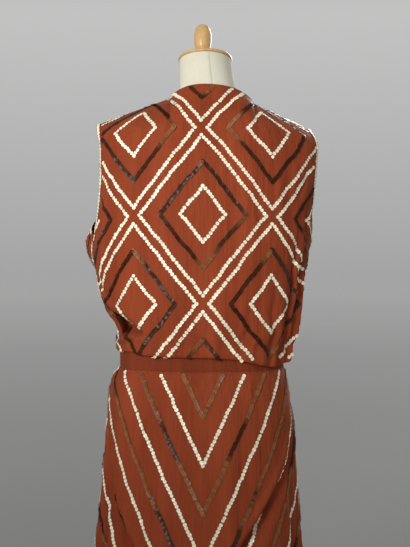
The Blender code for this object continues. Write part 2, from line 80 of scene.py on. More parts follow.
DROOP = table(("angle", "fall", "hang"),
    (0.0, 0.0000, 0.14), (40.0, 0.0000, 0.14), (52.0, 0.0000, 0.45), (65.0, 0.0000, 0.6), (85.0, 0.0000, 0.66),
    (105.0, 0.0010, 0.8), (118.0, 0.0050, 0.95), (130.0, 0.0115, 1.0), (142.0, 0.0150, 1.0), (153.0, 0.0112, 1.0),
    (162.0, 0.0080, 1.0), (185.0, 0.0055, 1.0), (230.0, 0.0015, 1.0), (270.0, 0.0030, 1.0), (310.0, 0.0060, 1.0),
    (335.0, 0.0010, 0.4), (350.0, 0.0000, 0.14), (360.0, 0.0000, 0.14))
ARMHOLE = table(("z", "back_left", "back_right", "front_left", "front_right"),
    (1.1300, 10.0, 184.0, 10.0, 184.0), (1.1450, 14.0, 178.0, 1.0, 188.5), (1.1700, 17.0, 171.5, -8.0, 193.0),
    (1.2100, 19.0, 166.5, -15.0, 197.0), (1.2500, 19.5, 163.5, -18.0, 199.0), (1.2900, 19.0, 162.0, -19.0, 200.0))
BAND = dict(left=0.1610, right=0.1565, back=0.1120, front=0.1090, square=2.3)
SKIRT = table(("z", "left", "right", "back", "front", "square"),
    (0.2700, 0.2290, 0.2130, 0.1660, 0.1620, 2.1),
    (0.4000, 0.2190, 0.2020, 0.1570, 0.1530, 2.1),
    (0.5300, 0.2080, 0.1900, 0.1470, 0.1430, 2.15),
    (0.6650, 0.1950, 0.1815, 0.1380, 0.1340, 2.2),
    (0.7650, 0.1875, 0.1760, 0.1310, 0.1270, 2.25),
    (0.8150, 0.1830, 0.1690, 0.1270, 0.1220, 2.3),
    (0.8560, 0.1780, 0.1630, 0.1200, 0.1160, 2.3),
    (0.8797, 0.1610, 0.1565, 0.1120, 0.1090, 2.3))
FOLD = ("low", "high", "z_low", "z_high", "width", "ridge")
BODICE_FOLDS = table(FOLD,
    (40.0, 16.0, 0.9260, 1.0050, 7.0, -0.0035), (57.0, 34.0, 0.9260, 1.0400, 9.0, 0.0050),
    (80.0, 74.0, 0.9260, 1.0000, 7.0, -0.0040), (104.0, 108.0, 0.9260, 1.0300, 7.0, -0.0040),
    (128.0, 126.0, 0.9260, 1.0000, 8.0, 0.0040), (150.0, 147.0, 0.9260, 1.1600, 7.0, -0.0065),
    (161.0, 160.0, 0.9260, 1.2100, 7.0, 0.0050), (173.0, 172.0, 0.9260, 1.1700, 6.5, -0.0055),
    (196.0, 198.0, 0.9260, 1.1000, 8.0, 0.0050), (214.0, 208.0, 0.9260, 1.1200, 8.0, -0.0060),
    (238.0, 246.0, 0.9260, 1.0200, 8.0, 0.0040), (262.0, 258.0, 0.9260, 1.0300, 7.0, -0.0045),
    (288.0, 292.0, 0.9260, 1.0100, 7.0, -0.0040), (312.0, 306.0, 0.9260, 1.0600, 8.0, 0.0045),
    (328.0, 334.0, 0.9260, 1.0900, 7.0, -0.0050))
POUCH = table(FOLD, (-13.0, -11.0, 1.0500, 1.1850, 15.0, 0.0260))
SKIRT_FOLDS = table(FOLD,
    (13.0, 15.0, 0.1500, 0.8600, 7.0, 0.0060), (25.0, 28.0, 0.1000, 0.8500, 7.0, -0.0110),
    (39.0, 41.0, 0.1200, 0.8300, 8.0, 0.0060), (58.0, 60.0, 0.1500, 0.7600, 8.0, -0.0040),
    (122.0, 120.0, 0.1200, 0.7600, 8.0, -0.0040), (142.0, 138.0, 0.1000, 0.8300, 8.0, 0.0060),
    (156.0, 153.0, 0.1200, 0.8500, 7.0, -0.0110), (169.0, 168.0, 0.1500, 0.8500, 7.0, 0.0060),
    (186.0, 184.0, 0.1000, 0.8400, 7.0, -0.0070), (206.0, 204.0, 0.1200, 0.8400, 8.0, -0.0080),
    (222.0, 219.0, 0.1200, 0.8200, 8.0, 0.0050), (244.0, 242.0, 0.1200, 0.7400, 8.0, -0.0040),
    (297.0, 300.0, 0.1200, 0.7600, 8.0, -0.0040), (317.0, 321.0, 0.1000, 0.8300, 8.0, 0.0060),
    (334.0, 336.0, 0.1200, 0.8500, 7.0, -0.0100), (350.0, 351.0, 0.1200, 0.8500, 7.0, 0.0040))
FORM = table(("z", "side", "back", "front", "square", "lean", "forward", "tilt"),
    (0.7450, 0.1440, 0.0950, 0.0860, 2.2, 0.0, 0.0, 0.0), (0.7520, 0.1530, 0.1020, 0.0930, 2.2, 0.0, 0.0, 0.0),
    (0.7850, 0.1610, 0.1090, 0.0980, 2.2, 0.0, 0.0, 0.0), (0.8200, 0.1620, 0.1110, 0.1010, 2.2, 0.0, 0.0, 0.0),
    (0.8600, 0.1540, 0.1080, 0.1020, 2.2, 0.0, 0.0, 0.0), (0.9000, 0.1450, 0.1010, 0.0990, 2.2, 0.0, 0.0, 0.0),
    (0.9500, 0.1370, 0.0930, 0.0950, 2.15, 0.0, 0.0, 0.0), (1.0000, 0.1300, 0.0860, 0.0900, 2.1, 0.0, 0.0, 0.0),
    (1.0400, 0.1350, 0.0900, 0.0980, 2.1, 0.0, 0.0, 0.0), (1.1000, 0.1560, 0.1010, 0.1140, 2.2, 0.0, 0.0, 0.0),
    (1.1500, 0.1700, 0.1070, 0.1290, 2.25, 0.0, 0.0, 0.0), (1.1900, 0.1770, 0.1080, 0.1340, 2.3, 0.0, 0.0, 0.0),
    (1.2400, 0.1820, 0.1050, 0.1220, 2.3, 0.0, 0.0, 0.0), (1.2900, 0.1820, 0.0930, 0.1000, 2.3, 0.0, 0.0, 0.0),
    (1.3250, 0.1710, 0.0790, 0.0835, 2.2, 0.0, 0.0, 0.0), (1.3450, 0.1550, 0.0690, 0.0725, 2.1, -0.0005, 0.0, 0.0),
    (1.3600, 0.1320, 0.0620, 0.0650, 2.05, -0.0020, 0.0, 0.0), (1.3730, 0.1060, 0.0575, 0.0600, 2.0, -0.0040, 0.0, 0.0),
    (1.3830, 0.0830, 0.0550, 0.0565, 2.0, -0.0060, 0.0, 0.0), (1.3920, 0.0680, 0.0540, 0.0550, 2.0, -0.0080, 0.0005, 0.5),
    (1.4020, 0.0590, 0.0535, 0.0540, 2.0, -0.0095, 0.0015, 1.5), (1.4180, 0.0555, 0.0535, 0.0535, 2.0, -0.0095, 0.0040, 3.5),
    (1.4460, 0.0525, 0.0515, 0.0515, 2.0, -0.0070, 0.0080, 6.5), (1.4760, 0.0510, 0.0505, 0.0505, 2.0, -0.0045, 0.0120, 9.0))
CAP = table(("radius", "z"), (0.0505, 0.0003), (0.0522, 0.0010), (0.0528, 0.0028), (0.0525, 0.0050), (0.0508, 0.0066),
    (0.0470, 0.0076), (0.0300, 0.0094))
FINIAL = table(("radius", "z"), (0.0108, 0.0097), (0.0118, 0.0116), (0.0112, 0.0143), (0.0104, 0.0168), (0.0121, 0.0213),
    (0.0150, 0.0288), (0.0168, 0.0385), (0.0174, 0.0480), (0.0168, 0.0580), (0.0142, 0.0670), (0.0094, 0.0732),
    (0.0044, 0.0755))
POST = table(("radius", "z"), (0.0290, 0.0343), (0.0300, 0.0400), (0.0250, 0.0520), (0.0190, 0.0680), (0.0175, 0.1000),
    (0.0190, 0.1500), (0.0215, 0.1700), (0.0190, 0.1900), (0.0175, 0.2400), (0.0175, 0.7000), (0.0210, 0.7200),
    (0.0230, 0.7447))
BASE = table(("radius", "z"), (0.1960, 0.0000), (0.2000, 0.0040), (0.2000, 0.0170), (0.1960, 0.0225), (0.1820, 0.0255),
    (0.1000, 0.0310), (0.0400, 0.0340))

# ---------------------------------------------------------------- creases that only the shown cloth has
# foot 1: strongest at the lower end and fading upwards; foot 0: fades at both ends
CREASE = ("low", "high", "z_low", "z_high", "width", "ridge", "foot")
BODICE_CREASES = table(CREASE,
    (56.0, 26.0, 0.9340, 0.9980, 6.0, -0.0080, 0.0),   # the deep fold over the left hip, with a lip above and below
    (40.0, 12.0, 0.9780, 1.0360, 6.5, 0.0060, 0.0),
    (12.0, 50.0, 0.9200, 0.9580, 8.0, 0.0080, 0.0),
    (66.0, 60.0, 0.9280, 0.9900, 3.6, -0.0034, 1.0),
    (25.0, 10.0, 1.0100, 1.0700, 4.5, -0.0050, 0.0),
    (34.0, 22.0, 1.0400, 1.1400, 4.0, 0.0030, 0.0),
    (70.0, 62.0, 0.9400, 1.0900, 2.8, -0.0022, 0.0),
    (76.0, 81.0, 0.9260, 0.9850, 2.4, 0.0022, 1.0),
    (88.0, 86.0, 0.9260, 0.9800, 2.2, -0.0024, 1.0),
    (95.0, 99.0, 0.9260, 1.0400, 2.6, 0.0020, 1.0),
    (112.0, 116.0, 0.9260, 1.0700, 2.8, -0.0032, 1.0),
    (119.0, 122.0, 0.9260, 1.0100, 2.4, 0.0026, 1.0),
    (133.0, 128.0, 0.9260, 1.1100, 3.0, -0.0040, 1.0),
    (139.5, 136.0, 0.9260, 1.1500, 2.4, 0.0036, 1.0),
    (145.5, 146.0, 0.9260, 1.2100, 1.9, -0.0082, 1.0),   # narrow upright folds down the right side
    (150.0, 150.0, 0.9260, 1.2200, 1.8, 0.0068, 1.0),
    (154.5, 155.5, 0.9350, 1.2300, 1.7, -0.0086, 0.0),
    (159.5, 160.0, 0.9260, 1.2100, 1.9, 0.0060, 1.0),
    (166.0, 167.0, 0.9260, 1.1900, 1.9, -0.0070, 1.0),
    (172.5, 172.0, 0.9260, 1.1500, 2.2, 0.0044, 1.0),
    (179.0, 178.0, 0.9260, 1.1000, 2.4, -0.0040, 1.0),
    (40.0, 58.0, 1.1800, 1.2850, 3.4, -0.0020, 0.0),     # drag lines from the armholes and across the shoulder blades
    (28.0, 33.0, 1.0800, 1.2500, 2.6, 0.0018, 0.0),
    (47.0, 45.0, 1.0500, 1.2400, 2.4, -0.0013, 0.0),
    (64.0, 60.0, 1.0200, 1.2600, 2.0, 0.0013, 0.0),
    (73.0, 71.0, 1.0600, 1.2700, 1.8, -0.0012, 0.0),
    (84.0, 86.0, 1.0000, 1.2300, 1.8, 0.0011, 0.0),
    (101.0, 99.0, 1.0400, 1.2600, 1.9, -0.0013, 0.0),
    (108.0, 107.0, 1.0900, 1.2500, 1.7, 0.0010, 0.0),
    (117.0, 112.0, 1.0800, 1.2700, 2.2, -0.0016, 0.0),
    (131.0, 122.0, 1.1400, 1.2800, 2.8, 0.0022, 0.0),
    (141.0, 152.0, 1.1700, 1.2850, 2.6, -0.0026, 0.0),
    (135.0, 140.0, 1.1900, 1.2850, 2.2, 0.0014, 0.0),
    (193.0, 190.0, 0.9260, 1.0800, 2.6, -0.0042, 1.0),   # front
    (202.0, 206.0, 0.9260, 1.1500, 2.4, -0.0040, 1.0),
    (209.0, 211.0, 0.9260, 1.1200, 2.2, 0.0036, 1.0),
    (221.0, 216.0, 0.9260, 1.0700, 2.8, 0.0040, 1.0),
    (229.0, 233.0, 0.9260, 1.0100, 2.4, -0.0032, 1.0),
    (246.0, 252.0, 0.9260, 1.1000, 2.8, -0.0026, 1.0),
    (255.0, 254.0, 0.9260, 0.9800, 2.2, 0.0026, 1.0),
    (271.0, 268.0, 0.9260, 1.0500, 2.6, 0.0022, 1.0),
    (279.0, 283.0, 0.9260, 1.0000, 2.4, -0.0026, 1.0),
    (296.0, 299.0, 0.9260, 1.0900, 2.8, 0.0032, 1.0),
    (304.0, 301.0, 0.9260, 1.0100, 2.2, -0.0030, 1.0),
    (320.0, 318.0, 0.9260, 1.1300, 2.8, -0.0036, 1.0),
    (337.0, 340.0, 0.9260, 1.1500, 2.8, 0.0042, 1.0),
    (347.0, 345.0, 0.9600, 1.1800, 3.0, -0.0050, 0.0),
    (238.0, 262.0, 1.1500, 1.2850, 3.4, -0.0019, 0.0),
    (300.0, 278.0, 1.1500, 1.2850, 3.4, -0.0020, 0.0),
    (322.0, 316.0, 1.1600, 1.2700, 3.4, 0.0022, 0.0),
    (218.0, 228.0, 1.1500, 1.2800, 3.0, 0.0018, 0.0))
SKIRT_CREASES = table(CREASE,
    (13.0, 12.0, 0.2000, 0.8300, 2.8, 0.0040, 1.0),
    (19.0, 18.0, 0.2000, 0.8200, 2.4, -0.0060, 1.0),
    (27.0, 27.0, 0.2000, 0.8300, 3.0, -0.0085, 1.0),      # deep fold near the left side
    (33.5, 31.5, 0.2000, 0.7900, 2.8, 0.0075, 1.0),
    (47.0, 44.0, 0.2000, 0.7400, 3.2, -0.0056, 1.0),
    (53.0, 50.0, 0.2000, 0.7000, 3.0, 0.0034, 1.0),
    (66.0, 60.0, 0.3000, 0.8600, 3.4, 0.0026, 0.0),
    (79.0, 72.0, 0.2500, 0.6600, 3.4, -0.0030, 1.0),
    (94.0, 96.0, 0.2500, 0.7400, 3.4, 0.0026, 1.0),
    (86.0, 84.0, 0.4500, 0.8600, 2.8, -0.0014, 0.0),
    (109.0, 112.0, 0.2600, 0.8300, 3.4, -0.0030, 0.0),
    (118.0, 120.0, 0.2400, 0.7200, 3.0, 0.0024, 1.0),
    (131.0, 134.0, 0.2000, 0.7600, 3.2, -0.0054, 1.0),
    (140.0, 142.0, 0.2000, 0.7300, 3.0, 0.0038, 1.0),
    (147.5, 147.0, 0.2000, 0.7900, 2.8, 0.0070, 1.0),
    (154.0, 154.0, 0.2000, 0.8300, 3.0, -0.0090, 1.0),    # deep fold near the right side
    (162.0, 163.0, 0.2000, 0.8300, 2.6, -0.0056, 1.0),
    (168.0, 168.0, 0.2000, 0.8300, 2.8, 0.0044, 1.0),
    (175.0, 176.0, 0.2000, 0.8300, 2.6, 0.0046, 1.0),
    (197.0, 195.0, 0.2000, 0.8000, 2.8, 0.0048, 1.0),
    (204.0, 203.0, 0.2000, 0.8200, 2.8, -0.0058, 1.0),
    (214.0, 212.0, 0.2000, 0.7600, 2.8, 0.0046, 1.0),
    (224.0, 226.0, 0.2200, 0.7200, 3.0, -0.0036, 1.0),
    (234.0, 237.0, 0.2500, 0.7300, 3.2, 0.0034, 1.0),
    (254.0, 258.0, 0.2600, 0.8300, 3.4, -0.0028, 0.0),
    (273.0, 270.0, 0.2500, 0.6900, 3.4, 0.0028, 1.0),
    (287.0, 283.0, 0.2500, 0.8300, 3.4, -0.0026, 0.0),
    (300.0, 298.0, 0.2300, 0.7400, 3.2, 0.0030, 1.0),
    (309.0, 306.0, 0.2000, 0.7600, 3.0, -0.0048, 1.0),
    (326.0, 328.0, 0.2000, 0.7900, 2.8, 0.0056, 1.0),
    (334.0, 335.0, 0.2000, 0.8300, 2.8, -0.0060, 1.0),
    (342.0, 343.0, 0.2000, 0.8200, 2.6, -0.0040, 1.0),
    (350.0, 350.0, 0.2000, 0.8000, 2.6, 0.0044, 1.0),
    (84.0, 88.0, 0.8250, 0.8780, 2.4, -0.0012, 0.0),      # short puckers under the band
    (54.0, 50.0, 0.8300, 0.8780, 2.4, 0.0014, 0.0),
    (72.0, 70.0, 0.8350, 0.8780, 2.0, -0.0010, 0.0),
    (101.0, 103.0, 0.8300, 0.8780, 2.2, 0.0011, 0.0),
    (118.0, 121.0, 0.8200, 0.8780, 2.4, 0.0014, 0.0),
    (140.0, 138.0, 0.8300, 0.8780, 2.2, -0.0014, 0.0),
    (226.0, 229.0, 0.8200, 0.8780, 2.4, 0.0014, 0.0),
    (262.0, 260.0, 0.8300, 0.8780, 2.4, -0.0012, 0.0),
    (301.0, 299.0, 0.8300, 0.8780, 2.4, 0.0014, 0.0))

# long folds whose one side laps over the other; side 1: the cloth at the greater angles lies on top
PLEAT = ("low", "high", "z_low", "z_high", "width", "depth", "side")
SKIRT_PLEATS = table(PLEAT,
    (80.0, 8.0, 0.4200, 0.8000, 15.0, 0.0240, 1.0), (84.0, 174.0, 0.4500, 0.8300, 15.0, 0.0230, -1.0),
    (262.0, 200.0, 0.4000, 0.7900, 14.0, 0.0170, 1.0), (282.0, 345.0, 0.4300, 0.8000, 14.0, 0.0180, -1.0))
BODICE_PLEATS = table(PLEAT,
    (151.0, 160.0, 0.9650, 1.1500, 9.0, 0.0085, -1.0), (205.0, 198.0, 0.9600, 1.1300, 9.0, 0.0070, 1.0),
    (336.0, 343.0, 0.9650, 1.0900, 9.0, 0.0070, -1.0))


# ---------------------------------------------------------------- reading the tables
def read(rows, key, name, at):
    """Smooth value of a named column between the rows of a table, never past its rows."""
    x, y = rows[key], rows[name]
    step = np.diff(y) / np.diff(x)
    m = np.empty_like(y)
    m[0], m[-1] = step[0], step[-1]
    a, b = step[:-1], step[1:]
    both = a * b > 0.0
    m[1:-1] = np.where(both, 2.0 * a * b / np.where(both, a + b, 1.0), 0.0)
    at = np.clip(at, x[0], x[-1])
    i = np.clip(np.searchsorted(x, at, side="right") - 1, 0, len(x) - 2)
    h = x[i + 1] - x[i]
    t = (at - x[i]) / h
    return (((2 * t - 3) * t * t + 1) * y[i] + ((t - 2) * t + 1) * t * m[i] * h + (3 - 2 * t) * t * t * y[i + 1]
            + (t - 1) * t * t * m[i + 1] * h)


def smooth(t):
    t = np.clip(t, 0.0, 1.0)
    return t * t * (3.0 - 2.0 * t)


def oval(left, right, back, front, square, angle):
    c, s = np.cos(np.radians(angle)), np.sin(np.radians(angle))
    a, b = np.where(c >= 0.0, left, right), np.where(s >= 0.0, back, front)
    power = 2.0 / square
    point = np.stack([np.sign(c) * np.abs(c) ** power * a, np.sign(s) * np.abs(s) ** power * b, 0.0 * c], -1)
    out = np.stack([np.sign(c) * np.abs(c) ** (2.0 - power) / a, np.sign(s) * np.abs(s) ** (2.0 - power) / b, 0.0 * c], -1)
    return point, out / np.linalg.norm(out, axis=-1, keepdims=True)


def turn_away(angle, middle):
    return (angle - middle + 180.0) % 360.0 - 180.0


def folds(rows, angle, z):
    total = np.zeros(np.broadcast(angle, z).shape)
    for k in range(len(rows["low"])):
        t = (z - rows["z_low"][k]) / (rows["z_high"][k] - rows["z_low"][k])
        t = np.clip(t, 0.0, 1.0)
        away = turn_away(angle, rows["low"][k] + (rows["high"][k] - rows["low"][k]) * t)
        total += rows["ridge"][k] * (1.0 - smooth(t)) * np.exp(-0.5 * (away / (0.6 * rows["width"][k])) ** 2)
    return total


def pouch(rows, angle, z):
    total = np.zeros(np.broadcast(angle, z).shape)
    for k in range(len(rows["low"])):
        t = np.clip((z - rows["z_low"][k]) / (rows["z_high"][k] - rows["z_low"][k]), 0.0, 1.0)
        away = turn_away(angle, rows["low"][k] + (rows["high"][k] - rows["low"][k]) * t)
        total += rows["ridge"][k] * np.sin(math.pi * t) ** 2 * np.exp(-0.5 * (away / (0.6 * rows["width"][k])) ** 2)
    return total


def creases(rows, angle, z):
    """Narrow soft troughs and ridges, each meandering a little along its length."""
    total = np.zeros(np.broadcast(angle, z).shape)
    for k in range(len(rows["low"])):
        span = rows["z_high"][k] - rows["z_low"][k]
        t = (z - rows["z_low"][k]) / span
        if rows["foot"][k] > 0.5:
            strength = smooth(1.0 - t) * smooth((t + 0.25) / 0.3)
        else:
            strength = smooth(t / 0.45) * smooth((1.0 - t) / 0.45)
        meander = 0.9 * np.sin(9.0 * t + 1.7 * k) + 0.5 * np.sin(21.0 * t + 0.9 * k)
        away = turn_away(angle, rows["low"][k] + (rows["high"][k] - rows["low"][k]) * t + meander)
        total += rows["ridge"][k] * strength * np.exp(-0.5 * (away / (0.6 * rows["width"][k])) ** 2)
    return total


def pleats(rows, angle, z):
    """Folds that deepen slowly from one side and end in a steep lap on the other."""
    total = np.zeros(np.broadcast(angle, z).shape)
    for k in range(len(rows["low"])):
        t = (z - rows["z_low"][k]) / (rows["z_high"][k] - rows["z_low"][k])
        strength = smooth(t / 0.35) * smooth((1.0 - t) / 0.35)
        middle = rows["low"][k] + (rows["high"][k] - rows["low"][k]) * t + 1.3 * np.sin(8.0 * t + 2.1 * k)
        d = rows["side"][k] * turn_away(angle, middle)
        shape = np.where(d < 0.0, smooth(1.0 + d / rows["width"][k]), smooth(1.0 - d / 1.7))
        roll = 0.22 * np.exp(-((d - 4.5) / 3.0) ** 2)
        total -= rows["depth"][k] * strength * (shape - roll)
    return total


# ---------------------------------------------------------------- surfaces of the dress
def bodice_ring(angle, z, fine):
    point, out = oval(*(read(BODICE, "z", name, z) for name in ("left", "right", "back", "front", "square")), angle)
    lift = folds(BODICE_FOLDS, angle, z) + pouch(POUCH, angle, z)
    if fine:
        lift = lift + creases(BODICE_CREASES, angle, z) + pleats(BODICE_PLEATS, angle, z)
    point = point + out * lift[..., None]
    point[..., 2] = z
    return point


def panel_angle(back, u, z):
    names = ("back_left", "back_right") if back else ("front_left", "front_right")
    low = z <= UNDERARM
    left = np.where(low, SEAM_LEFT, read(ARMHOLE, "z", names[0], z))
    right = np.where(low, SEAM_RIGHT, read(ARMHOLE, "z", names[1], z))
    if not back:
        left = left + 360.0
    return left + (right - left) * u


def top_line(back, u):
    c = np.cos(np.radians(162.0 - 144.0 * (1.0 - u)))
    across = np.sign(c) * np.abs(c) ** 0.87 / math.cos(math.radians(18.0)) ** 0.87
    x = 0.5 * (TIP_LEFT[0] + TIP_RIGHT[0]) + 0.5 * (TIP_LEFT[0] - TIP_RIGHT[0]) * across
    side = 1.0 if back else -1.0
    y = np.full_like(x, side * SEAM / 2.0)
    z_left = NECK_LEFT[1] + (TIP_LEFT[1] - NECK_LEFT[1]) * (x - NECK_LEFT[0]) / (TIP_LEFT[0] - NECK_LEFT[0])
    z_right = NECK_RIGHT[1] + (TIP_RIGHT[1] - NECK_RIGHT[1]) * (x - NECK_RIGHT[0]) / (TIP_RIGHT[0] - NECK_RIGHT[0])
    middle, half = 0.5 * (NECK_LEFT[0] + NECK_RIGHT[0]), 0.5 * (NECK_LEFT[0] - NECK_RIGHT[0])
    s = np.abs(x - middle) / half
    hole = s < 1.0
    inside = np.where(hole, s, 0.0)
    z_neck = NECK_RIGHT[1] + (NECK_LEFT[1] - NECK_RIGHT[1]) * (x - NECK_RIGHT[0]) / (2.0 * half)
    bow = np.sqrt(np.maximum(0.0, 1.0 - inside ** 2.3))
    if back:
        z_neck = z_neck + NECK_RISE * (1.0 - inside ** 2.5)
        y = np.where(hole, y + NECK_BACK * bow, y)
    else:
        z_neck = z_neck - NECK_DROP * (1.0 - inside ** 2.0)
        y = np.where(hole, y - NECK_FRONT * bow, y)
    z = np.where(hole, z_neck, np.where(x > middle, z_left, z_right))
    return np.stack([x, y, z], -1), s, hole


def rolled(back, u, t, fine):
    """The part of a panel above the chest, over the shoulder or up to the neckline, for rows of t and columns of u."""
    chest = np.full_like(u, CHEST_LEVEL)
    start = bodice_ring(panel_angle(back, u, chest), chest, fine)
    below = bodice_ring(panel_angle(back, u, chest - 0.004), chest - 0.004, fine)
    rise = (start - below) / 0.004
    end, s, _ = top_line(back, u)
    over = smooth(s / 1.15)
    steep = 1.9 + (0.30 - 1.9) * over
    heading = np.stack([0.0 * steep, np.full_like(steep, -1.0 if back else 1.0), steep], -1)
    heading /= np.linalg.norm(heading, axis=-1, keepdims=True)
    reach = np.linalg.norm(end - start, axis=-1, keepdims=True)
    a = start + rise * ((0.30 + 0.20 * over) * (end[..., 2] - start[..., 2]))[..., None]
    b = end - heading * (0.49 * reach)
    t = t[:, None, None]
    q = 1.0 - t
    return start * q ** 3 + a * (3 * q * q * t) + b * (3 * q * t * t) + end * t ** 3


def fold_over(back, u, count, fine):
    """Rows from the waist seam, down round the hanging fold and out to the face of the bodice."""
    angle = panel_angle(back, u, np.zeros_like(u))
    edge, _ = oval(BAND["left"], BAND["right"], BAND["back"], BAND["front"], BAND["square"], angle)
    face = bodice_ring(angle, np.full_like(u, FACE_LEVEL), fine)
    fall, hang = read(DROOP, "angle", "fall", angle % 360.0), read(DROOP, "angle", "hang", angle % 360.0)
    pts = np.stack([FOLD_OVER["share"], FOLD_OVER["rise"], FOLD_OVER["droop"]], -1)
    pts = np.vstack([[-0.38, 0.0003, 0.0], pts, [1.0, 0.0310, 0.0]])
    rows = []
    for i in range(len(pts) - 3):
        for k in range(count):
            t = k / count
            p0, p1, p2, p3 = pts[i], pts[i + 1], pts[i + 2], pts[i + 3]
            share, lift, droop = 0.5 * (2 * p1 + (p2 - p0) * t + (2 * p0 - 5 * p1 + 4 * p2 - p3) * t * t
                                        + (3 * p1 - p0 - 3 * p2 + p3) * t ** 3)
            row = edge + (face - edge) * share
            row[:, 2] = BAND_TOP + SEAM + (lift - SEAM) * (hang if lift < SEAM else 1.0) - droop * fall
            rows.append(row)
    return np.array(rows)


def skirt_ring(angle, z, fine):
    point, out = oval(*(read(SKIRT, "z", name, z) for name in ("left", "right", "back", "front", "square")), angle)
    lift = folds(SKIRT_FOLDS, angle, z)
    if fine:
        lift = lift + creases(SKIRT_CREASES, angle, z) + pleats(SKIRT_PLEATS, angle, z)
    point = point + out * lift[..., None]
    point[..., 2] = z
    return point


def hip_tuck(angle, z):
    """Share of the pocket of cloth tucked in under the fold over the left hip, a three-cornered hollow."""
    left = smooth((angle - 24.5) / 5.0)
    top = smooth((0.9905 - 0.00135 * np.maximum(angle - 27.0, 0.0) - z) / 0.0080)
    bottom = smooth((z - 0.9400 - 0.00010 * (angle - 27.0)) / 0.0110)
    point = smooth((52.0 - angle) / 4.0)
    return left * top * bottom * point


# how far the tucked cloth goes in: beside the side seam, and under the edge that laps over it
TUCK_SEAM, TUCK_LAP = np.array([-0.0040, -0.0420, 0.0080]), np.array([-0.0125, -0.0285, 0.0080])


def panel_us(columns):
    """Evenly spaced columns, with two moved onto the corners of the neckline."""
    us = np.linspace(0.0, 1.0, columns + 1)
    dense = np.linspace(0.0, 1.0, 20001)
    xs = top_line(True, dense)[0][:, 0]
    for corner in (NECK_LEFT[0], NECK_RIGHT[0]):
        at = dense[np.argmin(np.abs(xs - corner))]
        us[np.argmin(np.abs(us - at))] = at
    return us


def normals_of(grid, turn):
    du = np.gradient(grid, axis=1)
    dv = np.gradient(grid, axis=0)
    n = np.cross(dv, du) * turn
    return n / np.maximum(np.linalg.norm(n, axis=-1, keepdims=True), 1e-12)


class Panel:
    """One cut piece of cloth: its points, its normals, and the flat pattern that its lines of sequins are drawn on."""

    def __init__(self, grid, plain, pattern, turn):
        self.grid, self.turn, self.pattern = grid, turn, pattern
        self.normal = normals_of(grid, turn)
        rows, cols = grid.shape[:2]
        self.rows, self.cols = rows, cols
        flat = np.zeros((rows * cols, 3))
        flat[:, :2] = pattern.reshape(-1, 2)
        i, j = np.meshgrid(np.arange(rows - 1), np.arange(cols - 1), indexing="ij")
        a = (i * cols + j).ravel()
        b, c, d = a + 1, a + cols + 1, a + cols
        self.tris = np.concatenate([np.stack([a, b, c], -1), np.stack([a, c, d], -1)])
        self.flat = flat
        self.tree = BVHTree.FromPolygons(flat.tolist(), self.tris.tolist())
        self.points = grid.reshape(-1, 3)
        self.normals = self.normal.reshape(-1, 3)

    def find(self, s, t):
        """Point and normal on the cloth for a place on the flat pattern, or None beyond its edges."""
        hit = self.tree.find_nearest((s, t, 0.0))
        if hit[0] is None or hit[3] > 2e-5:
            return None
        tri = self.tris[hit[2]]
        p, q, r = self.flat[tri][:, :2]
        m = np.array([[q[0] - p[0], r[0] - p[0]], [q[1] - p[1], r[1] - p[1]]])
        det = m[0, 0] * m[1, 1] - m[0, 1] * m[1, 0]
        if abs(det) < 1e-14:
            return None
        x, y = s - p[0], t - p[1]
        v = (x * m[1, 1] - y * m[0, 1]) / det
        w = (y * m[0, 0] - x * m[1, 0]) / det
        weight = np.array([1.0 - v - w, v, w])
        n = weight @ self.normals[tri]
        return weight @ self.points[tri], n / np.linalg.norm(n)


def flat_pattern(plain, angle, middle, level_row, level):
    """Distance across from the middle of the panel, and along its length, for every point of a panel."""
    across = np.linalg.norm(np.diff(plain, axis=1), axis=-1)
    across = np.concatenate([np.zeros((len(plain), 1)), np.cumsum(across, axis=1)], axis=1)
    for i in range(len(plain)):
        order = slice(None) if angle[i][0] < angle[i][-1] else slice(None, None, -1)
        across[i] -= np.interp(middle, angle[i][order], across[i][order])
    along = np.linalg.norm(np.diff(plain, axis=0), axis=-1)
    along = np.concatenate([np.zeros((1, plain.shape[1])), np.cumsum(along, axis=0)], axis=0)
    along += level - along[level_row][None, :]
    return np.stack([across, along], -1)


def seam_pinch(grid, normal, where, depth=0.0007, reach=0.0035):
    """Draws the cloth in along sewn edges."""
    out = grid.copy()
    for side in (0, -1):
        away = np.linalg.norm(grid - grid[:, [side]], axis=-1)
        out -= normal * (depth * np.exp(-(away / reach) ** 2) * where[:, None])[..., None]
    return out


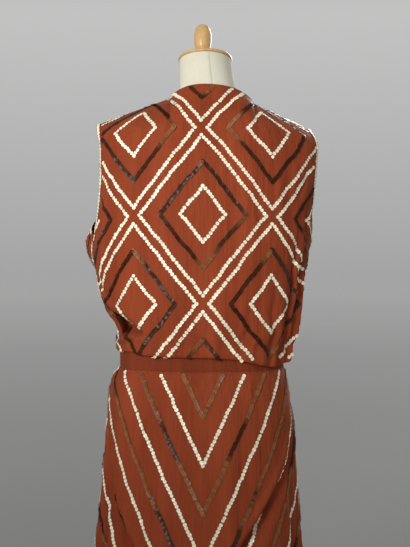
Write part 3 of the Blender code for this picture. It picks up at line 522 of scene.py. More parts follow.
def bodice_panel(back):
    us = panel_us(168)
    middle = 90.0 if back else 270.0
    zs = np.linspace(FACE_LEVEL, CHEST_LEVEL, 112)
    ts = np.linspace(0.0, 1.0, 38)[1:]
    grids = []
    for fine in (True, False):
        under = fold_over(back, us, 4, fine)
        z = zs[:, None] + 0.0 * us[None, :]
        wall = bodice_ring(panel_angle(back, us[None, :], z), z, fine)
        grids.append(np.concatenate([under, wall, rolled(back, us, ts, fine)]))
    under_rows = len(grids[0]) - len(zs) - len(ts)
    angle = np.concatenate([np.repeat(panel_angle(back, us, np.zeros_like(us))[None], under_rows, 0),
                            panel_angle(back, us[None, :], zs[:, None] + 0.0 * us[None, :]),
                            np.repeat(panel_angle(back, us, np.full_like(us, CHEST_LEVEL))[None], len(ts), 0)])
    pattern = flat_pattern(grids[1], angle, middle, under_rows, FACE_LEVEL)
    turn = -1.0 if back else 1.0
    grid = grids[0]
    if back:
        inwards = TUCK_SEAM + (TUCK_LAP - TUCK_SEAM) * smooth((angle - 28.0) / 18.0)[..., None]
        grid = grid + hip_tuck(angle, grids[1][..., 2])[..., None] * inwards
    sewn = np.concatenate([np.ones(under_rows), (zs <= UNDERARM).astype(float), np.zeros(len(ts))])
    grid = seam_pinch(grid, normals_of(grid, turn), sewn)
    # the shoulder seams dip a little too
    seam_row = np.abs(grid[-1, :, 1]) < 0.001
    gap = np.linalg.norm(grid - grid[[-1]], axis=-1)
    grid -= normals_of(grid, turn) * (0.0006 * np.exp(-(gap / 0.0035) ** 2) * seam_row[None, :])[..., None]
    # half a seam's width is left free on both sides of each side seam
    for j, step in ((0, 1), (-1, -2)):
        inward = grid[:, step] - grid[:, j]
        inward[:, 2] = 0.0
        inward /= np.linalg.norm(inward, axis=-1, keepdims=True)
        grid[:, j] += inward * (SEAM / 2.0)
    panel = Panel(grid, grids[1], pattern, turn)
    panel.us, panel.under_rows, panel.wall_rows = us, under_rows, len(zs)
    panel.armhole_from = under_rows + int(np.argmax(zs > UNDERARM)) - 1
    corners = np.nonzero(~seam_row)[0]
    panel.neck = (corners[0] - 1, corners[-1] + 1)
    return panel


def skirt_panel(back):
    us = np.linspace(0.0, 1.0, 169)
    middle = 90.0 if back else 270.0
    zs = np.concatenate([np.linspace(SKIRT["z"][0], 0.84, 96), np.linspace(0.84, SKIRT["z"][-1], 14)[1:]])
    z = zs[:, None] + 0.0 * us[None, :]
    angle = panel_angle(back, us[None, :] + 0.0 * z, np.zeros_like(z))
    grid, plain = skirt_ring(angle, z, True), skirt_ring(angle, z, False)
    pattern = flat_pattern(plain, angle, middle, len(zs) - 1, SKIRT["z"][-1])
    turn = -1.0 if back else 1.0
    grid = seam_pinch(grid, normals_of(grid, turn), np.ones(len(zs)))
    for j, step in ((0, 1), (-1, -2)):
        inward = grid[:, step] - grid[:, j]
        inward[:, 2] = 0.0
        inward /= np.linalg.norm(inward, axis=-1, keepdims=True)
        grid[:, j] += inward * (SEAM / 2.0)
    return Panel(grid, plain, pattern, turn)


# ---------------------------------------------------------------- meshes
def link(name, verts, faces, mat, soft=True, sharp=None):
    mesh = bpy.data.meshes.new(name)
    mesh.from_pydata(np.asarray(verts, dtype=float).tolist(), [], faces if isinstance(faces, list) else faces.tolist())
    mesh.validate()
    mesh.update()
    if soft:
        mesh.shade_smooth()
        if sharp:
            mesh.set_sharp_from_angle(angle=math.radians(sharp))
    mesh.materials.append(mat)
    obj = bpy.data.objects.new(name, mesh)
    bpy.context.scene.collection.objects.link(obj)
    return obj


def add_float(obj, name, values):
    layer = obj.data.attributes.new(name, "FLOAT", "POINT")
    layer.data.foreach_set("value", np.asarray(values, dtype=np.float32))


def shell(name, panel, mat, thickness=SHELL):
    """Thin closed cloth over a panel's points."""
    rows, cols = panel.rows, panel.cols
    outer = panel.grid.reshape(-1, 3)
    inner = (panel.grid - panel.normal * thickness).reshape(-1, 3)
    n = rows * cols
    i, j = np.meshgrid(np.arange(rows - 1), np.arange(cols - 1), indexing="ij")
    a = (i * cols + j).ravel()
    front = np.stack([a, a + 1, a + cols + 1, a + cols], -1)
    if panel.turn < 0.0:
        out_faces, in_faces = front, front[:, ::-1] + n
    else:
        out_faces, in_faces = front[:, ::-1], front + n
    # which way the quads wind is settled by the first face against its normal
    p = outer[out_faces[len(out_faces) // 2]]
    facing = np.cross(p[1] - p[0], p[2] - p[1]) @ panel.normal.reshape(-1, 3)[out_faces[len(out_faces) // 2][0]]
    if facing < 0.0:
        out_faces, in_faces = out_faces[:, ::-1], in_faces[:, ::-1]
    rim = [k for k in range(cols)] + [r * cols + cols - 1 for r in range(1, rows)]
    rim += [(rows - 1) * cols + k for k in range(cols - 2, -1, -1)] + [r * cols for r in range(rows - 2, 0, -1)]
    edge = np.array([[rim[k], rim[(k + 1) % len(rim)], rim[(k + 1) % len(rim)] + n, rim[k] + n] for k in range(len(rim))])
    obj = link(name, np.concatenate([outer, inner]), np.concatenate([out_faces, in_faces, edge]), mat,
               sharp=60.0)
    return obj


def tube(paths, radius, sides, closed=False):
    """Joined tubes along lists of points."""
    verts, faces = [], []
    for path in paths:
        path = np.asarray(path)
        ahead = np.roll(path, -1, 0) - np.roll(path, 1, 0)
        if not closed:
            ahead[0], ahead[-1] = path[1] - path[0], path[-1] - path[-2]
        ahead /= np.linalg.norm(ahead, axis=-1, keepdims=True)
        ref = np.array([0.31, 0.17, 0.93])
        side = np.cross(ahead, ref)
        side /= np.linalg.norm(side, axis=-1, keepdims=True)
        up = np.cross(side, ahead)
        first = len(verts)
        for k in range(len(path)):
            for m in range(sides):
                w = 2 * math.pi * m / sides
                verts.append(path[k] + radius * (side[k] * math.cos(w) + up[k] * math.sin(w)))
        last = len(path) if closed else len(path) - 1
        for k in range(last):
            n = (k + 1) % len(path)
            for m in range(sides):
                q = (m + 1) % sides
                faces.append((first + k * sides + m, first + k * sides + q, first + n * sides + q, first + n * sides + m))
        if not closed:
            faces.append(tuple(first + m for m in range(sides))[::-1])
            faces.append(tuple(first + (len(path) - 1) * sides + m for m in range(sides)))
    return np.array(verts), faces


def frames_on(panel, line, lift):
    """Places along a line of the flat pattern: point, direction and normal, where the cloth is."""
    places = []
    for s, t, ds, dt in line:
        here = panel.find(s, t)
        if here is None:
            continue
        before, after = panel.find(s - ds * 0.002, t - dt * 0.002), panel.find(s + ds * 0.002, t + dt * 0.002)
        if before is None or after is None:
            continue
        point, normal = here
        ahead = after[0] - before[0]
        ahead -= normal * (ahead @ normal)
        size = np.linalg.norm(ahead)
        if size < 1e-7:
            continue
        places.append((point + normal * lift, ahead / size, normal))
    return places


def measured(panel, a, b):
    """Shares of a straight stretch of the flat pattern, and the length of cloth up to each, folds and all."""
    size = np.linalg.norm(b - a)
    shares = np.linspace(0.0, 1.0, max(3, int(size / 0.0015) + 1))
    step = size / (len(shares) - 1)
    found = [panel.find(*(a + (b - a) * share)) for share in shares]
    lengths = [step if p is None or q is None else min(max(np.linalg.norm(q[0] - p[0]), 0.5 * step), 8.0 * step)
               for p, q in zip(found, found[1:])]
    return shares, np.concatenate([[0.0], np.cumsum(lengths)])


def run(panel, points, pitch, closed=False, jitter=0.00035, sway=0.0013):
    """Places along straight stretches between corner points, one on every corner and the others evenly spaced on the
    folded cloth, with the sway of hand sewing."""
    line = []
    phase = RNG.uniform(0.0, 6.28, 3)
    gone = 0.0
    pts = [np.array(p, dtype=float) for p in points]
    ends = pts[1:] + ([pts[0]] if closed else [])
    for a, b in zip(pts, ends):
        size = np.linalg.norm(b - a)
        if size < 1e-6:
            continue
        d = (b - a) / size
        shares, lengths = measured(panel, a, b)
        count = max(1, int(round(lengths[-1] / pitch)))
        across = np.array([-d[1], d[0]])
        for k in range(count):
            share = float(np.interp(lengths[-1] * k / count, lengths, shares))
            here = gone + size * share
            ends_free = min(1.0, 4.0 * share, 4.0 * (1.0 - share))
            wave = math.sin(here * 62.0 + phase[0]) + 0.6 * math.sin(here * 131.0 + phase[1]) + 0.4 * math.sin(here * 27.0 + phase[2])
            place = a + (b - a) * share + across * (wave * sway * 0.6 * ends_free) + RNG.normal(0.0, jitter, 2)
            line.append((place[0], place[1], d[0], d[1]))
        gone += size
    if not closed:
        line.append((pts[-1][0], pts[-1][1], line[-1][2], line[-1][3]))
    return line


def discs(name, places, radius, thick, tilt, cup, mat, tones, sides=10):
    """Round sequins as one joined mesh, each lying along its line and leaning on the next."""
    count = len(places)
    if not count:
        return None
    w = 2 * math.pi * np.arange(sides) / sides
    ring = np.stack([np.cos(w), np.sin(w)], -1)
    local = [np.array([[0.0, 0.0, -cup]])]
    local.append(np.column_stack([ring * radius * 0.30, np.full(sides, -cup * 0.85)]))
    local.append(np.column_stack([ring * radius, np.zeros(sides)]))
    local.append(np.column_stack([ring * radius * 0.985, np.full(sides, -thick)]))
    local = np.concatenate(local)
    near = np.concatenate([[0.0], np.full(sides, 0.30), np.full(sides, 1.0), np.full(sides, 1.0)])
    faces = []
    for k in range(sides):
        m = (k + 1) % sides
        faces.append((0, 1 + k, 1 + m))
        for level in (0, 1):
            a, b = 1 + level * sides, 1 + (level + 1) * sides
            faces.append((a + k, b + k, b + m))
            faces.append((a + k, b + m, a + m))
    faces = np.array(faces)
    at = np.array([p[0] for p in places])
    ahead = np.array([p[1] for p in places])
    normal = np.array([p[2] for p in places])
    lean = np.radians(tilt + RNG.normal(0.0, 4.5, count))[:, None]
    roll = np.radians(RNG.normal(0.0, 5.0, count))[:, None]
    across = np.cross(normal, ahead)
    x = ahead * np.cos(lean) + normal * np.sin(lean)
    n = normal * np.cos(lean) - ahead * np.sin(lean)
    y = across * np.cos(roll) + n * np.sin(roll)
    n = n * np.cos(roll) - across * np.sin(roll)
    size = np.clip(1.0 + RNG.normal(0.0, 0.05, count), 0.88, 1.12)[:, None, None]
    local = local[None] * size
    verts = (at[:, None] + local[..., :1] * x[:, None] + local[..., 1:2] * y[:, None] + local[..., 2:] * n[:, None])
    allf = (faces[None] + (np.arange(count) * len(near))[:, None, None]).reshape(-1, 3)
    obj = link(name, verts.reshape(-1, 3), allf, mat, sharp=40.0)
    add_float(obj, "ring", np.tile(near, count))
    add_float(obj, "tone", np.repeat(np.asarray(tones), len(near)))
    return obj


def stitches(name, lines, mat, length=0.0026, radius=0.00028, pitch=0.0048):
    """Short threads along lists of points that lie on the cloth, with their normals."""
    paths = []
    for pts, nrm in lines:
        pts, nrm = np.asarray(pts), np.asarray(nrm)
        step = np.linalg.norm(np.diff(pts, axis=0), axis=-1)
        s = np.concatenate([[0.0], np.cumsum(step)])
        for at in np.arange(pitch / 2, s[-1] - length, pitch):
            path = []
            for k, h in ((0.0, -0.0001), (0.5, 0.00022), (1.0, -0.0001)):
                here = np.array([np.interp(at + length * k, s, pts[:, c]) for c in range(3)])
                n = np.array([np.interp(at + length * k, s, nrm[:, c]) for c in range(3)])
                path.append(here + n / np.linalg.norm(n) * h)
            paths.append(path)
    verts, faces = tube(paths, radius, 4)
    return link(name, verts, faces, mat)


# ---------------------------------------------------------------- materials
def new_material(name):
    mat = bpy.data.materials.new(name)
    mat.use_nodes = True
    tree = mat.node_tree
    shader = next(n for n in tree.nodes if n.type == "BSDF_PRINCIPLED")
    return mat, tree, shader


def put(tree, kind, **values):
    node = tree.nodes.new(kind)
    for key, value in values.items():
        if hasattr(node, key):
            setattr(node, key, value)
        else:
            node.inputs[key.replace("_", " ")].default_value = value
    return node


def scaled(tree, scale, source="Object", rotation=(0.0, 0.0, 0.0)):
    coord = put(tree, "ShaderNodeTexCoord")
    mapping = put(tree, "ShaderNodeMapping")
    mapping.inputs["Scale"].default_value = scale
    mapping.inputs["Rotation"].default_value = rotation
    tree.links.new(coord.outputs[source], mapping.inputs["Vector"])
    return mapping.outputs["Vector"]


def noise(tree, vector, scale, detail=2.0, rough=0.5, distortion=0.0):
    node = put(tree, "ShaderNodeTexNoise")
    node.inputs["Scale"].default_value = scale
    node.inputs["Detail"].default_value = detail
    node.inputs["Roughness"].default_value = rough
    node.inputs["Distortion"].default_value = distortion
    tree.links.new(vector, node.inputs["Vector"])
    return node.outputs["Fac"]


def ramp(tree, fac, *stops):
    node = put(tree, "ShaderNodeValToRGB")
    while len(node.color_ramp.elements) < len(stops):
        node.color_ramp.elements.new(0.5)
    for element, (position, colour) in zip(node.color_ramp.elements, stops):
        element.position = position
        element.color = (*colour, 1.0) if len(colour) == 3 else colour
    tree.links.new(fac, node.inputs["Fac"])
    return node.outputs["Color"]


def blend(tree, fac, a, b, mode="MIX"):
    node = put(tree, "ShaderNodeMix", data_type="RGBA", blend_type=mode)
    for value, socket in ((fac, node.inputs[0]), (a, node.inputs[6]), (b, node.inputs[7])):
        if hasattr(value, "is_linked"):
            tree.links.new(value, socket)
        elif isinstance(value, (int, float)):
            socket.default_value = value
        else:
            socket.default_value = (*value, 1.0)
    return node.outputs[2]


def math_node(tree, operation, a, b):
    node = put(tree, "ShaderNodeMath", operation=operation)
    for value, socket in ((a, node.inputs[0]), (b, node.inputs[1])):
        if hasattr(value, "is_linked"):
            tree.links.new(value, socket)
        else:
            socket.default_value = value
    return node.outputs[0]


def bump(tree, shader, *layers):
    """Chained bumps, each a height, a strength and a distance in metres."""
    last = None
    for height, strength, distance in layers:
        node = put(tree, "ShaderNodeBump")
        node.inputs["Strength"].default_value = strength
        node.inputs["Distance"].default_value = distance
        tree.links.new(height, node.inputs["Height"])
        if last is not None:
            tree.links.new(last, node.inputs["Normal"])
        last = node.outputs["Normal"]
    tree.links.new(last, shader.inputs["Normal"])


def attribute(tree, name):
    node = put(tree, "ShaderNodeAttribute")
    node.attribute_name = name
    return node.outputs["Fac"]


def chiffon(name, deep, lit):
    mat, tree, shader = new_material(name)
    streak = noise(tree, scaled(tree, (1.0, 1.0, 0.05)), 190.0, 3.0, 0.55)
    fall = noise(tree, scaled(tree, (1.0, 1.0, 0.11)), 26.0, 4.0, 0.58)
    wide = noise(tree, scaled(tree, (1.0, 1.0, 0.5)), 7.0, 2.0, 0.5)
    weave = noise(tree, scaled(tree, (1.0, 1.0, 1.0)), 1500.0, 1.0, 0.5)
    slub = noise(tree, scaled(tree, (0.12, 0.12, 1.0)), 700.0, 2.0, 0.5)
    # Noise blends the shaded and the lit rust: partly the crinkle's own streaky tone, partly painted shade and painted
    # light of soft gathers.
    base = ramp(tree, fall, (0.34, deep), (0.66, lit))
    base = blend(tree, 0.30, base, ramp(tree, wide, (0.30, tuple(c * 0.80 for c in deep)), (0.70, lit)))
    base = blend(tree, 0.15, base, ramp(tree, streak, (0.30, tuple(c * 0.66 for c in deep)), (0.70, tuple(min(1.0, c * 1.22) for c in lit))))
    base = blend(tree, 0.16, base, ramp(tree, weave, (0.35, tuple(c * 0.6 for c in deep)), (0.65, tuple(min(1.0, c * 1.3) for c in lit))))
    tree.links.new(base, shader.inputs["Base Color"])
    rough = put(tree, "ShaderNodeMapRange")
    rough.inputs["To Min"].default_value = 0.68
    rough.inputs["To Max"].default_value = 0.86
    tree.links.new(streak, rough.inputs["Value"])
    tree.links.new(rough.outputs["Result"], shader.inputs["Roughness"])
    shader.inputs["Specular IOR Level"].default_value = 0.10
    shader.inputs["Sheen Weight"].default_value = 0.12
    shader.inputs["Sheen Roughness"].default_value = 0.42
    shader.inputs["Sheen Tint"].default_value = (1.0, 0.50, 0.32, 1.0)
    bump(tree, shader, (fall, 0.90, 0.0100), (streak, 0.35, 0.0009), (slub, 0.25, 0.0003), (weave, 0.35, 0.00016))
    return mat


def sequin(name, dark, light, rough, coat, gloss, thread, hue, rim_share):
    """Glossy disc with a sewn hole in its middle and a rim tinted by rim_share, darker below 1 as painted shade where
    the discs overlap and lighter above 1; tone 0 to 1 shifts each disc's own colour.
    """
    mat, tree, shader = new_material(name)
    ring, tone = attribute(tree, "ring"), attribute(tree, "tone")
    base = blend(tree, tone, dark, light)
    mottled = noise(tree, scaled(tree, (1.0, 1.0, 1.0)), 420.0, 2.0)
    base = blend(tree, 0.25, base, blend(tree, 1.0, base, ramp(tree, mottled, (0.3, (0.55, 0.55, 0.55)), (0.7, hue)), "MULTIPLY"))
    hole = ramp(tree, ring, (0.0, (1.0, 1.0, 1.0)), (0.15, (1.0, 1.0, 1.0)), (0.20, (0.0, 0.0, 0.0)))
    rim = ramp(tree, ring, (0.80, (0.0, 0.0, 0.0)), (1.0, (1.0, 1.0, 1.0)))
    # rim_share below 1 darkens the rim, painted shade where the discs overlap; above 1 it lightens the rim.
    edge = blend(tree, 1.0, base, (rim_share, rim_share * 0.92, rim_share * 0.82), "MULTIPLY")
    base = blend(tree, rim, base, edge)
    base = blend(tree, hole, base, thread)
    tree.links.new(base, shader.inputs["Base Color"])
    shader.inputs["Roughness"].default_value = rough
    shader.inputs["Specular IOR Level"].default_value = gloss
    shader.inputs["Coat Weight"].default_value = coat
    shader.inputs["Coat Roughness"].default_value = 0.10
    bump(tree, shader, (mottled, 0.25, 0.0002))
    return mat


def jersey(name):
    mat, tree, shader = new_material(name)
    wale = noise(tree, scaled(tree, (1.0, 1.0, 0.04)), 900.0, 1.0)
    course = noise(tree, scaled(tree, (0.05, 0.05, 1.0)), 1100.0, 1.0)
    patch = noise(tree, scaled(tree, (1.0, 1.0, 1.0)), 16.0, 3.0)
    base = ramp(tree, patch, (0.28, (0.70, 0.657, 0.518)), (0.75, (0.79, 0.760, 0.634)))
    base = blend(tree, 0.20, base, ramp(tree, wale, (0.3, (0.59, 0.543, 0.416)), (0.7, (0.83, 0.806, 0.703))))
    seam = attribute(tree, "seam")
    base = blend(tree, seam, base, (0.52, 0.47, 0.35))
    tree.links.new(base, shader.inputs["Base Color"])
    shader.inputs["Roughness"].default_value = 0.86
    shader.inputs["Specular IOR Level"].default_value = 0.25
    shader.inputs["Sheen Weight"].default_value = 0.15
    bump(tree, shader, (wale, 0.35, 0.0004), (course, 0.30, 0.0003))
    return mat


def wood(name, dark, light, scale=(1.0, 1.0, 0.09)):
    mat, tree, shader = new_material(name)
    grain = noise(tree, scaled(tree, scale), 260.0, 4.0, 0.62, 0.6)
    broad = noise(tree, scaled(tree, tuple(c * 0.4 for c in scale)), 60.0, 3.0, 0.5, 1.2)
    base = ramp(tree, broad, (0.25, dark), (0.75, light))
    base = blend(tree, 0.35, base, ramp(tree, grain, (0.35, tuple(c * 0.62 for c in dark)), (0.6, light)))
    tree.links.new(base, shader.inputs["Base Color"])
    rough = put(tree, "ShaderNodeMapRange")
    rough.inputs["To Min"].default_value = 0.34
    rough.inputs["To Max"].default_value = 0.52
    tree.links.new(grain, rough.inputs["Value"])
    tree.links.new(rough.outputs["Result"], shader.inputs["Roughness"])
    shader.inputs["Coat Weight"].default_value = 0.18
    shader.inputs["Coat Roughness"].default_value = 0.25
    bump(tree, shader, (grain, 0.18, 0.0004))
    return mat


def plain_thread(name, colour):
    mat, tree, shader = new_material(name)
    twist = noise(tree, scaled(tree, (1.0, 1.0, 1.0)), 2600.0, 1.0)
    tree.links.new(ramp(tree, twist, (0.3, tuple(c * 0.7 for c in colour)), (0.7, colour)), shader.inputs["Base Color"])
    shader.inputs["Roughness"].default_value = 0.7
    bump(tree, shader, (twist, 0.4, 0.0002))
    return mat


# Rust in shade and rust in light: the chiffon mixes them as painted shade and painted light over the cloth's own tone.
RUST_SHADED, RUST_LIT = (0.205, 0.0345, 0.0118), (0.325, 0.0610, 0.0212)
CHIFFON = chiffon("rust_chiffon", RUST_SHADED, RUST_LIT)
# A darker copy of the chiffon, at 0.76 of its colour: painted shade for the waistband under the overhanging bodice. The
# rolled edges use it too.
CHIFFON_SHADED = chiffon("rust_chiffon_painted_shade", tuple(c * 0.76 for c in RUST_SHADED), tuple(c * 0.76 for c in RUST_LIT))
# The cream discs' rim share of 0.72 is painted shade where they overlap one another.
CREAM = sequin("cream_sequins", (0.97, 0.86, 0.63), (1.0, 0.94, 0.75), 0.34, 0.20, 0.35, (0.60, 0.45, 0.27), (1.0, 1.0, 1.0), 0.72)
DARK = sequin("dark_sequins", (0.034, 0.0105, 0.0050), (0.300, 0.122, 0.046), 0.36, 0.05, 0.12, (0.09, 0.030, 0.014), (1.0, 1.0, 1.0), 1.35)
JERSEY = jersey("cream_jersey")
WOOD = wood("turned_wood", (0.54, 0.302, 0.104), (0.75, 0.480, 0.193))
WOOD_LOW = wood("turned_wood_foot", (0.42, 0.235, 0.09), (0.60, 0.38, 0.17))
THREAD = plain_thread("rust_thread", (0.19, 0.04, 0.018))
CREAM_THREAD = plain_thread("cream_thread", (0.60, 0.54, 0.40))

# ---------------------------------------------------------------- cloth
backs = bodice_panel(True)
fronts = bodice_panel(False)
skirt_b = skirt_panel(True)
skirt_f = skirt_panel(False)

cloth = {
    "bodice_back": shell("bodice_back_cloth", backs, CHIFFON),
    "bodice_front": shell("bodice_front_cloth", fronts, CHIFFON),
    "skirt_back": shell("skirt_back_cloth", skirt_b, CHIFFON),
    "skirt_front": shell("skirt_front_cloth", skirt_f, CHIFFON),
}


def band_cloth():
    """Waistband: one strip closed by a seam at the left, with a faint turn at both edges and light strain lines."""
    count, rows = 260, 15
    angle = SEAM_LEFT + 360.0 * np.arange(count) / count
    profile = []
    for k in range(rows):
        t = k / (rows - 1)
        profile.append((BAND_BOTTOM + (BAND_TOP - BAND_BOTTOM) * t, -0.0005 * (math.exp(-(t / 0.10) ** 2) + math.exp(-((1 - t) / 0.10) ** 2))))
    outer = []
    for z, dip in profile:
        p, out = oval(BAND["left"], BAND["right"], BAND["back"], BAND["front"], BAND["square"], angle)
        strain = 0.00035 * np.sin(np.radians(angle) * 23.0 + z * 900.0) * np.sin(np.radians(angle) * 7.0 + 1.0)
        p = p + out * (dip + strain - 0.0001)[:, None]
        p[:, 2] = z
        outer.append(p)
    outer = np.array(outer)
    inner = []
    for r in range(rows):
        p, out = oval(BAND["left"], BAND["right"], BAND["back"], BAND["front"], BAND["square"], angle)
        q = outer[r] - out * 0.0011
        inner.append(q)
    loop = np.concatenate([outer, np.array(inner)[::-1]])
    faces = []
    total = 2 * rows
    for r in range(total):
        for k in range(count):
            m, s = (k + 1) % count, (r + 1) % total
            faces.append((r * count + k, r * count + m, s * count + m, s * count + k))
    # The waistband takes the darker copy of the chiffon, its colour painted shade.
    obj = link("waistband_cloth", loop.reshape(-1, 3), faces, CHIFFON_SHADED, sharp=70.0)
    return obj, outer


band_obj, band_grid = band_cloth()
cloth["waistband"] = band_obj

# ---------------------------------------------------------------- narrow rolled edges and stitches
def rolled_edges(panel, kind):
    paths = []
    if kind == "bodice":
        for j in (0, panel.cols - 1):
            paths.append(panel.grid[panel.armhole_from:, j])
        low, high = panel.neck
        paths.append(panel.grid[-1, low:high + 1])
    else:
        paths.append(panel.grid[0, :])
    return paths


def run_rows(panel, kind):
    """Rows of points a little inside the edges and beside the seams, for the stitches."""
    lines = []
    g, n = panel.grid, panel.normal
    if kind == "bodice":
        for j in (1, panel.cols - 2):
            lines.append((g[panel.armhole_from + 1:-2, j], n[panel.armhole_from + 1:-2, j]))
            lines.append((g[panel.under_rows:panel.armhole_from, j], n[panel.under_rows:panel.armhole_from, j]))
        low, high = panel.neck
        lines.append((g[-2, low + 1:high], n[-2, low + 1:high]))
        lines.append((g[-2, 2:low], n[-2, 2:low]))
        lines.append((g[-2, high + 1:-2], n[-2, high + 1:-2]))
    else:
        for j in (1, panel.cols - 2):
            lines.append((g[2:-1, j], n[2:-1, j]))
        lines.append((g[-2, 2:-2], n[-2, 2:-2]))
        lines.append((g[1, 2:-2], n[1, 2:-2]))
    return lines


extras = {key: [] for key in cloth}
for key, panel, kind in (("bodice_back", backs, "bodice"), ("bodice_front", fronts, "bodice"),
                         ("skirt_back", skirt_b, "skirt"), ("skirt_front", skirt_f, "skirt")):
    verts, faces = tube(rolled_edges(panel, kind), 0.00085, 6)
    # The rolled edges use the darker copy of the chiffon that was made as the waistband's painted shade.
    extras[key].append(link(key + "_rolled_edge", verts, faces, CHIFFON_SHADED))
    extras[key].append(stitches(key + "_stitches", run_rows(panel, kind), THREAD))
closed_row = np.concatenate([band_grid[1], band_grid[1][:1]])
upper_row = np.concatenate([band_grid[-2], band_grid[-2][:1]])
band_out = np.concatenate([oval(BAND["left"], BAND["right"], BAND["back"], BAND["front"], BAND["square"],
                                SEAM_LEFT + 360.0 * np.arange(261) / 260)[1]])
extras["waistband"].append(stitches("waistband_stitches", [(closed_row, band_out), (upper_row, band_out)], THREAD))


# ---------------------------------------------------------------- lines of sequins
CREAM_RADIUS, CREAM_PITCH = 0.0037, 0.0069
DARK_RADIUS, DARK_PITCH = 0.0040, 0.0046
# Lozenges inside lozenges on the bodice: half-width and half-height of a cell, and the share and kind of each line
CELL = (0.128, 0.164)
LOZENGES = (("cream", 0.910), ("dark", 0.610), ("cream", 0.320))
# Chevrons down the skirt, one under the other at an even step
CHEVRON_TOP, CHEVRON_STEP, CHEVRON_SLOPE, CHEVRONS = 0.798, 0.086, 2.10, 13


def lozenge_lines(middle_level):
    lines = []
    for column in range(-3, 4):
        for row in range(-3, 4):
            if (column + row) % 2:
                continue
            s0, t0 = column * CELL[0], middle_level + row * CELL[1]
            for kind, share in LOZENGES:
                a, b = CELL[0] * share, CELL[1] * share
                lines.append((kind, [(s0, t0 + b), (s0 + a, t0), (s0, t0 - b), (s0 - a, t0)], True))
    return lines


def chevron_lines(level):
    lines = []
    for k in range(CHEVRONS):
        tip = CHEVRON_TOP - CHEVRON_STEP * k
        reach = 0.42
        kind = "dark" if k % 2 == 0 else "cream"
        lines.append((kind, [(-reach, tip + CHEVRON_SLOPE * reach), (0.0, tip), (reach, tip + CHEVRON_SLOPE * reach)], False))
    return lines


def edging(panel):
    """A close row of cream sequins just inside both armhole edges of a bodice panel."""
    places = []
    for edge, inner in ((0, 4), (panel.cols - 1, panel.cols - 5)):
        rows = slice(panel.armhole_from + 3, panel.rows - 2)
        inward = panel.grid[rows, inner] - panel.grid[rows, edge]
        inward /= np.linalg.norm(inward, axis=-1, keepdims=True)
        normal = panel.normal[rows, (edge + inner) // 2]
        path = panel.grid[rows, edge] + inward * 0.0042 + normal * 0.0013
        gone = np.concatenate([[0.0], np.cumsum(np.linalg.norm(np.diff(path, axis=0), axis=-1))])
        for at in np.arange(0.001, gone[-1] - 0.001, CREAM_PITCH * 0.96):
            here, after, out = (np.array([np.interp(where, gone, source[:, c]) for c in range(3)])
                                for where, source in ((at, path), (at + 0.001, path), (at, normal)))
            ahead = after - here
            out /= np.linalg.norm(out)
            ahead -= out * (ahead @ out)
            places.append((here, ahead / np.linalg.norm(ahead), out))
    return places


def sew(key, panel, lines, low, high, border=()):
    """Sequins of each kind along the lines, kept off the panel's edges and off its border row."""
    found = {"cream": list(border), "dark": []}
    tones = {"cream": list(np.clip(RNG.normal(0.6, 0.2, len(border)), 0.0, 1.0)), "dark": []}
    taken = np.array([place[0] for place in border]) if border else None
    for number, (kind, points, closed) in enumerate(lines):
        pitch = CREAM_PITCH if kind == "cream" else DARK_PITCH
        radius = CREAM_RADIUS if kind == "cream" else DARK_RADIUS
        places = []
        for place in run(panel, points, pitch, closed):
            s, t, ds, dt = place
            if not low <= t <= high:
                continue
            clear = all(panel.find(s + radius * math.cos(w), t + radius * math.sin(w)) is not None
                        for w in (0.0, 1.57, 3.14, 4.71))
            if clear:
                places.append(place)
        lift = 0.0013 if kind == "cream" else 0.0016
        got = frames_on(panel, places, lift)
        if taken is not None:
            got = [place for place in got if np.linalg.norm(taken - place[0], axis=-1).min() > 0.0080]
        found[kind] += got
        if kind == "cream":
            tones[kind] += list(np.clip(RNG.normal(0.6, 0.22, len(got)), 0.0, 1.0))
        else:
            at = np.arange(len(got)) * pitch
            stretch = np.sin(at * 19.0 + number * 1.3) + 0.55 * np.sin(at * 47.0 + number * 2.1)
            share = 0.55 + stretch if key.startswith("skirt") else stretch - 0.75
            brown = 1.0 / (1.0 + np.exp(-share * 9.0))
            tones[kind] += list(np.clip(0.04 + 0.78 * brown + RNG.normal(0.0, 0.10, len(got)) * (0.3 + brown), 0.0, 1.0))
    made = []
    if found["cream"]:
        made.append(discs(key + "_cream_sequins", found["cream"], CREAM_RADIUS, 0.00055, 6.0, 0.0005, CREAM,
                          tones["cream"]))
    if found["dark"]:
        made.append(discs(key + "_dark_sequins", found["dark"], DARK_RADIUS, 0.00040, 11.0, 0.0004, DARK,
                          tones["dark"]))
    return made


extras["bodice_back"] += sew("bodice_back", backs, lozenge_lines(1.170), FACE_LEVEL - 0.026, 2.0, edging(backs))
extras["bodice_front"] += sew("bodice_front", fronts, lozenge_lines(1.170), FACE_LEVEL - 0.026, 2.0, edging(fronts))
extras["skirt_back"] += sew("skirt_back", skirt_b, chevron_lines(0), 0.0, 0.8790)
extras["skirt_front"] += sew("skirt_front", skirt_f, chevron_lines(0), 0.0, 0.8790)

